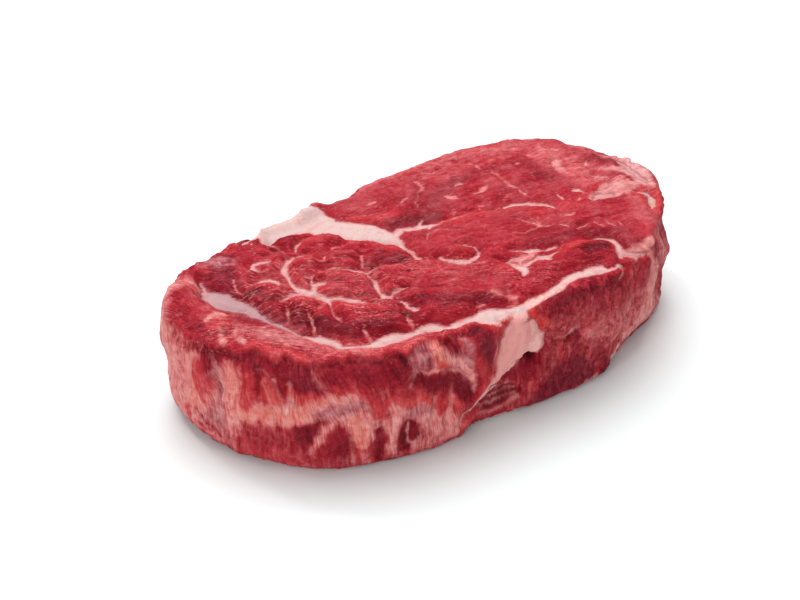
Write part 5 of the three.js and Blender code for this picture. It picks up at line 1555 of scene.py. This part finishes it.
    def read(self, bench: NodeBench) -> Looks:
        """Read the skin's attributes, and the grain of whichever sheet a point lies on.

        Args:
            bench: the material's tree.

        Returns:
            Sockets by name.
        """
        looks = {}
        for name in ("wall", "fat", "vein", "coarse", "lively", "tone", "pale", "tint", "net", "fray"):
            looks[name] = bench.add("ShaderNodeAttribute", attribute_name=name).outputs["Fac"]
        pattern = GrainPattern()
        tree = pattern.group()
        sides = []
        for name in ("grain_cut", "grain_wall"):
            place = bench.add("ShaderNodeAttribute", attribute_name=name).outputs["Vector"]
            sides.append(bench.add("ShaderNodeGroup", {"Place": place}, node_tree=tree))
        for look in pattern.looks:
            both = bench.mix(looks["wall"], sides[0].outputs[look], sides[1].outputs[look])
            looks[look] = bench.mix(looks["lively"], 0.5, both)
        place = bench.add("ShaderNodeTexCoord").outputs["Object"]
        looks["Object"] = place
        looks["Mottle"] = bench.noise(place, *self.mottle_noise)
        looks["Speckle"] = bench.noise(place, *self.speckle_noise)
        folds = bench.noise(bench.scaled(place, self.fold_run), *self.fold_noise)
        fold = bench.fade(bench.math("ABSOLUTE", bench.minus(folds, 0.5)), self.fold_width, 0.0)
        membrane = bench.times(looks["wall"], bench.minus(1.0, looks["lively"]))
        looks["Crinkle"] = bench.times(fold, membrane)
        looks["Blotch"] = bench.mix(membrane, 0.5, folds)
        looks["warm"] = bench.math("MAXIMUM", looks["tint"], 0.0)
        looks["cool"] = bench.math("MAXIMUM", bench.times(looks["tint"], -1.0), 0.0)
        return looks

    def swung(self, bench: NodeBench, looks: Looks, weights: Weights) -> Value:
        """Sum of some looks about their middle.

        Args:
            bench: the material's tree.
            looks: what read() gave.
            weights: the looks and their weights.

        Returns:
            The sum.
        """
        return bench.total([bench.swing(looks[look], weight) for look, weight in weights])

    def muscle(self, bench: NodeBench, looks: Looks) -> Socket:
        """Colour of bare muscle.

        Args:
            bench: the material's tree.
            looks: what read() gave.

        Returns:
            The colour.
        """
        coarse = looks["coarse"]
        tone = looks["tone"]
        for look, on_fine, on_coarse, on_wall in self.swings:
            weight = bench.mix(looks["wall"], bench.mix(coarse, on_fine, on_coarse), on_wall)
            tone = bench.plus(tone, bench.swing(looks[look], weight))
        # Painted shade in the hollows between the ridges of coarse muscle.
        crease = bench.fade(looks["Ridge"], *self.crease_shade_fade)
        tone = bench.minus(tone, bench.times(crease, bench.mix(coarse, 0.0, self.crease_shade_depth)))
        tone = bench.minus(tone, bench.times(looks["Crinkle"], self.crinkle_shade))
        share = bench.add("ShaderNodeMapRange", {"Value": tone, "From Min": -1.0, "From Max": 1.0})
        ramp = bench.add("ShaderNodeValToRGB", {0: share.outputs[0]})
        stops = ramp.color_ramp.elements
        while len(stops) < len(self.reds):
            stops.new(0.5)
        for stop, (place, colour) in zip(stops, self.reds):
            stop.position = place
            stop.color = colour
        muscle = bench.tinge(bench.times(looks["warm"], self.orange_share), ramp.outputs[0], self.orange)
        return bench.tinge(bench.times(looks["cool"], self.purple_share), muscle, self.purple)

    def film(self, bench: NodeBench, looks: Looks) -> Socket:
        """Colour of pale membrane.

        Args:
            bench: the material's tree.
            looks: what read() gave.

        Returns:
            The colour.
        """
        film = bench.tinge(looks["warm"], self.blush, self.salmon)
        film = bench.tinge(looks["cool"], film, self.lilac)
        film = bench.tinge(bench.fade(looks["pale"], *self.white_fade), film, self.white)
        lined = self.swung(bench, looks, self.lines)
        film = bench.tinge(bench.plus(self.line_base, lined, clamp=True), film, self.white)
        flush = bench.plus(looks["Ridge"], self.swung(bench, looks, self.flush_rag))
        flush = bench.fade(flush, *self.flush_fade)
        return bench.tinge(bench.times(flush, looks["wall"]), film, self.flush)

    def threads(self, bench: NodeBench, looks: Looks, skin: Socket) -> Socket:
        """Lay haze, webs between bundles, flecks of fat and painted glint, and frayed dots over the muscle.

        Args:
            bench: the material's tree.
            looks: what read() gave.
            skin: colour so far.

        Returns:
            The colour with them.
        """
        wall = looks["wall"]
        haze = bench.fade(bench.noise(looks["Object"], *self.haze_noise), *self.haze_fade)
        calm = bench.mix(wall, bench.fade(looks["coarse"], *self.calm_fade), self.calm_wall)
        skin = bench.tinge(bench.times(haze, calm), skin, self.haze)
        edge = bench.plus(looks["Edge"], self.swung(bench, looks, self.web_rag))
        web = bench.times(bench.fade(edge, *self.web_fade), looks["net"])
        skin = bench.tinge(bench.times(web, self.web_share), skin, self.thin_fat)
        thread = bench.times(bench.fade(looks["Edge"], *self.thread_fade), looks["net"])
        skin = bench.tinge(bench.times(thread, self.web_share), skin, self.blush)
        # Flecks: partly fat, partly painted glints.
        flecks_and_glints = bench.fade(looks["Fleck"], *self.fleck_and_glint_fade, bench.mix(wall, *self.fleck_and_glint_wall_on))
        skin = bench.tinge(flecks_and_glints, skin, self.thin_fat)
        dots = bench.plus(looks["Speckle"], self.swung(bench, looks, self.dot_rag))
        dots = bench.times(bench.fade(dots, *self.dot_fade), bench.times(looks["fray"], self.dot_share))
        return bench.tinge(dots, skin, self.blush)

    def cream(self, bench: NodeBench, looks: Looks, depth: Socket) -> Socket:
        """Colour of thick fat.

        Args:
            bench: the material's tree.
            looks: what read() gave.
            depth: how far inside the fat the point lies, from 0 to 1.

        Returns:
            The colour.
        """
        wall = looks["wall"]
        up = bench.add("ShaderNodeSeparateXYZ", {0: looks["Object"]}).outputs[2]
        low = bench.times(wall, bench.fade(up, *self.tongue_fade))
        cream = bench.tinge(depth, self.thin_fat, bench.tinge(low, self.fat, self.tongue))
        peach = bench.times(looks["warm"], bench.mix(wall, *self.peach_wall_on))
        cream = bench.tinge(peach, cream, self.peach)
        cream = bench.tinge(bench.times(looks["cool"], self.grey_share), cream, self.grey_film)
        share = bench.mix(looks["cool"], *self.blushed_cool_on)
        share = bench.plus(share, bench.times(wall, self.blushed_wall))
        share = bench.times(bench.fade(looks["pale"], *self.blushed_fade), share)
        cream = bench.tinge(share, cream, bench.tinge(looks["warm"], self.thin_fat, self.salmon))
        for look, fade in (("Streak", self.fat_streaks), ("Mottle", self.fat_mottle)):
            cream = bench.tinge(bench.fade(looks[look], *fade), cream, self.thin_fat)
        return cream

    def colour(self, bench: NodeBench, looks: Looks) -> tuple[Socket, Socket]:
        """Colour of the skin.

        Args:
            bench: the material's tree.
            looks: what read() gave.

        Returns:
            The colour and the mask of fat.
        """
        wall = looks["wall"]
        ragged = bench.times(self.swung(bench, looks, self.rags), bench.fade(looks["pale"], *self.rag_fade))
        pale = bench.fade(bench.plus(looks["pale"], ragged), *self.pale_fade)
        skin = bench.tinge(pale, self.muscle(bench, looks), self.film(bench, looks))
        skin = self.threads(bench, looks, skin)
        torn = bench.plus(self.swung(bench, looks, self.tears),
                          bench.times(self.swung(bench, looks, self.coarse_tears), looks["coarse"]))
        vein = bench.fade(bench.plus(looks["vein"], torn), bench.mix(wall, *self.vein_width_wall_on),
                          self.vein_core, 0.0, bench.mix(wall, *self.vein_share_wall_on))
        broken = bench.noise(looks["Object"], *self.broken_noise)
        vein = bench.times(vein, bench.fade(broken, *self.vein_gaps))
        skin = bench.tinge(vein, skin, self.blush)
        inner = bench.times(bench.minus(1.0, wall), looks["coarse"])
        inside = bench.plus(looks["fat"], torn)
        fat = bench.fade(inside, bench.mix(inner, *self.fat_edge_coarse_on),
                         bench.mix(inner, *self.fat_core_coarse_on))
        depth = bench.fade(inside, 0.0, bench.mix(inner, *self.fat_depth_coarse_on))
        skin = bench.tinge(fat, skin, self.cream(bench, looks, depth))
        return skin, bench.math("MAXIMUM", fat, bench.times(vein, self.vein_fat))


@dataclass
class MuscleRelief:
    """The skin's relief in millimetres, as a Geometry Nodes tree over the painted attributes."""

    ridge_height: float = 1.0
    streak_height: float = 1.8
    lump_height: float = 0.9
    rim_height: float = 1.8
    lump_size: float = 5.0
    seam_depth: float = 0.3
    cushion_height: float = 1.8
    cushion_reach: float = 3.0
    bundle_height: float = 0.9
    foot: float = 1.6
    bare_fade: Fade = (-0.3, 0.8)
    wall_coarse: float = 0.35
    fine_relief: float = 0.3
    vein_shrink: float = 0.2
    cushion_start: float = -0.1
    cushion_sink: float = 0.6
    fat_sink: Fade = (-2.2, -0.6)
    fine_cushion: float = 0.4
    bundle_fade: Fade = (0.0, 0.4)

    def tree(self, material: bpy.types.Material) -> bpy.types.NodeTree:
        """Build the tree.

        Args:
            material: finish that the tree sets.

        Returns:
            The tree, with a socket for each height.
        """
        tree = bpy.data.node_groups.new("muscle relief", "GeometryNodeTree")
        tree.interface.new_socket("Geometry", in_out="INPUT", socket_type="NodeSocketGeometry")
        for name in self.heights():
            tree.interface.new_socket(name, in_out="INPUT", socket_type="NodeSocketFloat")
        tree.interface.new_socket("Geometry", in_out="OUTPUT", socket_type="NodeSocketGeometry")
        bench = NodeBench(tree)
        entry = bench.add("NodeGroupInput")

        def named(name: str, kind: str = "FLOAT") -> Socket:
            """One of the skin's attributes."""
            node = bench.add("GeometryNodeInputNamedAttribute", {"Name": name}, data_type=kind)
            return next(s for s in node.outputs if s.enabled and s.name == "Attribute")

        size = entry.outputs
        wall = named("wall")
        place = bench.add("GeometryNodeInputPosition").outputs[0]
        pattern = GrainPattern()
        cut, side = (pattern.weave(bench, named(name, "FLOAT_VECTOR"))
                     for name in ("grain_cut", "grain_wall"))
        looks = {look: bench.mix(wall, cut[look], side[look]) for look in ("Ridge", "Streak", "Edge")}
        bare = bench.fade(named("fat"), *self.bare_fade)
        coarse = bench.mix(wall, named("coarse"), self.wall_coarse)
        rugged = bench.times(bare, bench.mix(coarse, self.fine_relief, 1.0))
        seam = bench.math("MINIMUM", bench.plus(named("vein"), self.vein_shrink), named("fat"))
        cushion = bench.fade(seam, self.cushion_start, size["Cushion reach"])
        cushion = bench.minus(cushion, self.cushion_sink)
        cushion = bench.times(cushion, bench.fade(named("fat"), *self.fat_sink))
        full = size["Cushion height"]
        rim = bench.times(bench.times(wall, bench.minus(1.0, wall)), 4.0)
        rim = bench.times(rim, named("torn"))
        lumps = bench.noise(place, size["Lump scale"])
        bundle = bench.times(bench.fade(looks["Edge"], *self.bundle_fade), named("net"))
        total = bench.total([
            bench.times(bench.swing(looks["Ridge"], size["Ridge height"]), rugged),
            bench.times(bench.swing(looks["Streak"], size["Streak height"]), rugged),
            bench.swing(lumps, bench.mix(rim, size["Lump height"], size["Rim height"])),
            bench.times(bench.minus(bare, 1.0), size["Seam depth"]),
            bench.times(cushion, bench.mix(coarse, bench.times(full, self.fine_cushion), full)),
            bench.times(bundle, size["Bundle height"]),
            named("rise"),
        ])
        up = bench.add("ShaderNodeSeparateXYZ", {0: place}).outputs[2]
        standing = bench.add("ShaderNodeMapRange", {"Value": up, "From Min": 0.0, "From Max": size["Foot"]})
        lift = bench.times(bench.times(total, standing.outputs[0]), MM)
        normal = bench.add("GeometryNodeInputNormal").outputs[0]
        offset = bench.add("ShaderNodeVectorMath", {0: normal, "Scale": lift}, operation="SCALE").outputs[0]
        moved = bench.add("GeometryNodeSetPosition", {"Geometry": size["Geometry"], "Offset": offset})
        real = bench.add("GeometryNodeRealizeInstances", {0: moved.outputs[0]})
        done = bench.add("GeometryNodeSetMaterial", {"Geometry": real.outputs[0], "Material": material})
        bench.add("NodeGroupOutput", {0: done.outputs[0]})
        return tree

    def heights(self) -> dict[str, float]:
        """The tree's named sizes."""
        return {"Ridge height": self.ridge_height, "Streak height": self.streak_height,
                "Lump height": self.lump_height, "Rim height": self.rim_height, "Seam depth": self.seam_depth,
                "Cushion height": self.cushion_height, "Cushion reach": self.cushion_reach,
                "Bundle height": self.bundle_height,
                "Lump scale": 1 / (self.lump_size * MM), "Foot": self.foot * MM}

    def apply(self, piece: bpy.types.Object, material: bpy.types.Material) -> None:
        """Give a piece the relief and keep the result as its plain mesh.

        Args:
            piece: the piece, with its attributes.
            material: its finish.
        """
        modifier = piece.modifiers.new("relief", "NODES")
        modifier.node_group = self.tree(material)
        heights = self.heights()
        for item in modifier.node_group.interface.items_tree:
            if item.in_out == "INPUT" and item.name in heights:
                modifier[item.identifier] = heights[item.name]
        settle(piece)


def settle(piece: bpy.types.Object) -> None:
    """Turn a piece's modifiers into its plain mesh.

    Args:
        piece: the piece.
    """
    bpy.context.view_layer.update()
    graph = bpy.context.evaluated_depsgraph_get()
    mesh = bpy.data.meshes.new_from_object(piece.evaluated_get(graph), preserve_all_data_layers=True,
                                           depsgraph=graph)
    piece.modifiers.clear()
    old = piece.data
    piece.data = mesh
    bpy.data.meshes.remove(old)
    mesh.name = piece.name


def points_of(mesh: bpy.types.Mesh, what: str = "co") -> np.ndarray:
    """Places or normals of a mesh's points.

    Args:
        mesh: the mesh.
        what: "co" or "normal".

    Returns:
        Three numbers for each point.
    """
    values = np.zeros(3 * len(mesh.vertices), np.float32)
    mesh.vertices.foreach_get(what, values)
    return values.reshape(-1, 3).astype(float)


@dataclass
class Steak:
    """The steak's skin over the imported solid."""

    node: str = "steak"
    weld: float = 0.001
    round_levels: int = 2
    voxel: float = 0.73
    smooth_factor: float = 0.5
    smooth_rounds: int = 4
    crisp_band: float = 0.75
    crisp_length: float = 0.5
    foot_fade: Pair = (14.0, 2.0)

    def block_out(self) -> bpy.types.Object:
        """Copy the solid and make it one even, rounded mesh.

        Returns:
            The piece.
        """
        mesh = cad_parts[self.node].data.copy()
        mesh.materials.clear()
        loose = bmesh.new()
        loose.from_mesh(mesh)
        bmesh.ops.remove_doubles(loose, verts=loose.verts, dist=self.weld * MM)
        loose.to_mesh(mesh)
        loose.free()
        piece = bpy.data.objects.new("steak_skin", mesh)
        bpy.context.scene.collection.objects.link(piece)
        rounding = piece.modifiers.new("rounding", "SUBSURF")
        rounding.levels = self.round_levels
        rounding.render_levels = self.round_levels
        even = piece.modifiers.new("even", "REMESH")
        even.mode = "VOXEL"
        even.voxel_size = self.voxel * MM
        soften = piece.modifiers.new("soften", "SMOOTH")
        soften.factor = self.smooth_factor
        soften.iterations = self.smooth_rounds
        settle(piece)
        return piece

    def spread_foot(self, piece: bpy.types.Object, outline: Outline) -> None:
        """Push the foot of the wall out or in, more towards the floor.

        Args:
            piece: the skin.
            outline: the steak's outline.
        """
        places = points_of(piece.data) / MM
        arcs = outline.read(places[:, :2])[0] % outline.length
        away = points_of(piece.data, "normal")[:, :2]
        share = smooth_step(*self.foot_fade, places[:, 2]) * np.interp(arcs, *zip(*FOOT_SPREAD))
        places[:, :2] += away * share[:, None]
        piece.data.vertices.foreach_set("co", (places * MM).astype(np.float32).ravel())
        piece.data.update()

    def refine(self, piece: bpy.types.Object, outline: Outline) -> None:
        """Split the faces along the edges of the fat, so that those edges are crisp.

        Args:
            piece: the skin.
            outline: the steak's outline.
        """
        sheets = Sheets(outline, points_of(piece.data) / MM, points_of(piece.data, "normal"))
        butcher = Butcher(sheets)
        close = np.minimum(np.abs(butcher.fat()), np.abs(butcher.veins())) < self.crisp_band
        fine = bmesh.new()
        fine.from_mesh(piece.data)
        edges = [edge for edge in fine.edges if close[edge.verts[0].index] and close[edge.verts[1].index]
                 and edge.calc_length() > self.crisp_length * MM]
        bmesh.ops.subdivide_edges(fine, edges=edges, cuts=1, use_grid_fill=True)
        fine.to_mesh(piece.data)
        fine.free()

    def build(self, material: bpy.types.Material) -> bpy.types.Object:
        """Make the whole skin.

        Args:
            material: its finish.

        Returns:
            The finished piece.
        """
        piece = self.block_out()
        outline = Outline()
        self.spread_foot(piece, outline)
        self.refine(piece, outline)
        sheets = Sheets(outline, points_of(piece.data) / MM, points_of(piece.data, "normal"))
        Butcher(sheets).dress(piece.data)
        MuscleRelief().apply(piece, material)
        piece.data.polygons.foreach_set("use_smooth", [True] * len(piece.data.polygons))
        piece.data.update()
        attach(piece, "root")
        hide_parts(self.node)
        piece.data.calc_loop_triangles()
        log.info("skin: %d triangles", len(piece.data.loop_triangles))
        return piece


@dataclass
class Studio:
    """A white floor, soft light from high on the left and behind, and the camera."""

    azimuth: float = -25.0
    elevation: float = 38.0
    distance: float = 0.640
    lens: float = 100.0
    sensor: float = 36.0
    target: Triple = (-6.52 * MM, 2.95 * MM, 18 * MM)
    near_clip: float = 0.01
    floor_size: float = 6.0
    floor_colour: Colour = (0.865, 0.915, 0.915, 1)
    floor_rough: float = 0.6
    floor_shine: float = 0.1
    lamps: tuple[tuple[str, Triple, float, float], ...] = (
        ("key", (0.1, 0.38, 0.97), 0.9, 10.6),
        ("spark", (-0.25, 0.6, 0.8), 0.12, 1.2),
        ("front fill", (-0.9, -0.8, 0.7), 0.9, 5.4),
    )
    sky: float = 0.42

    def camera(self) -> None:
        """Set up the camera."""
        turn, rise = math.radians(self.azimuth), math.radians(self.elevation)
        target = Vector(self.target)
        away = Vector((math.sin(turn) * math.cos(rise), -math.cos(turn) * math.cos(rise), math.sin(rise)))
        data = bpy.data.cameras.new("camera")
        data.lens = self.lens
        data.sensor_width = self.sensor
        data.clip_start = self.near_clip
        camera = bpy.data.objects.new("camera", data)
        camera.location = target + self.distance * away
        camera.rotation_euler = (-away).to_track_quat("-Z", "Y").to_euler()
        bpy.context.scene.collection.objects.link(camera)
        bpy.context.scene.camera = camera

    def floor(self) -> None:
        """Lay the white floor under the steak."""
        half = self.floor_size / 2
        mesh = bpy.data.meshes.new("floor")
        low = cad_box[0][2]
        ends = ((-half, -half), (half, -half), (half, half), (-half, half))
        mesh.from_pydata([(x, y, low) for x, y in ends], [], [(0, 1, 2, 3)])
        floor = bpy.data.objects.new("floor", mesh)
        bpy.context.scene.collection.objects.link(floor)
        material = bpy.data.materials.new("white floor")
        material.use_nodes = True
        shader = material.node_tree.nodes["Principled BSDF"]
        shader.inputs["Base Color"].default_value = self.floor_colour
        shader.inputs["Roughness"].default_value = self.floor_rough
        shader.inputs["Specular IOR Level"].default_value = self.floor_shine
        mesh.materials.append(material)

    def lights(self) -> None:
        """Hang the lamps, each with its place, width and power, and fill the room with white light."""
        for name, place, size, power in self.lamps:
            data = bpy.data.lights.new(name, "AREA")
            data.shape = "DISK"
            data.size = size
            data.energy = power
            lamp = bpy.data.objects.new(name, data)
            lamp.location = place
            lamp.rotation_euler = (-Vector(place)).to_track_quat("-Z", "Y").to_euler()
            bpy.context.scene.collection.objects.link(lamp)
        world = bpy.data.worlds.new("room")
        world.use_nodes = True
        world.node_tree.nodes["Background"].inputs["Color"].default_value = (1, 1, 1, 1)
        world.node_tree.nodes["Background"].inputs["Strength"].default_value = self.sky
        bpy.context.scene.world = world
        bpy.context.scene.view_settings.view_transform = "Standard"

    def build(self) -> None:
        """Set up the camera, the floor and the lights."""
        self.camera()
        self.floor()
        self.lights()


def corners(box: Sequence[Sequence[float]]) -> list[list[float]]:
    """A box as plain lists.

    Args:
        box: lowest and highest corner.

    Returns:
        The same, as lists of numbers.
    """
    return [[float(value) for value in corner] for corner in box]


def main() -> None:
    """Build the studio and the steak."""
    logging.basicConfig(level=logging.INFO, format="%(name)s: %(message)s")
    Studio().build()
    log.info("studio: camera, floor and lights")
    Steak().build(RawMeat().material())


if __name__ == "__main__":
    main()
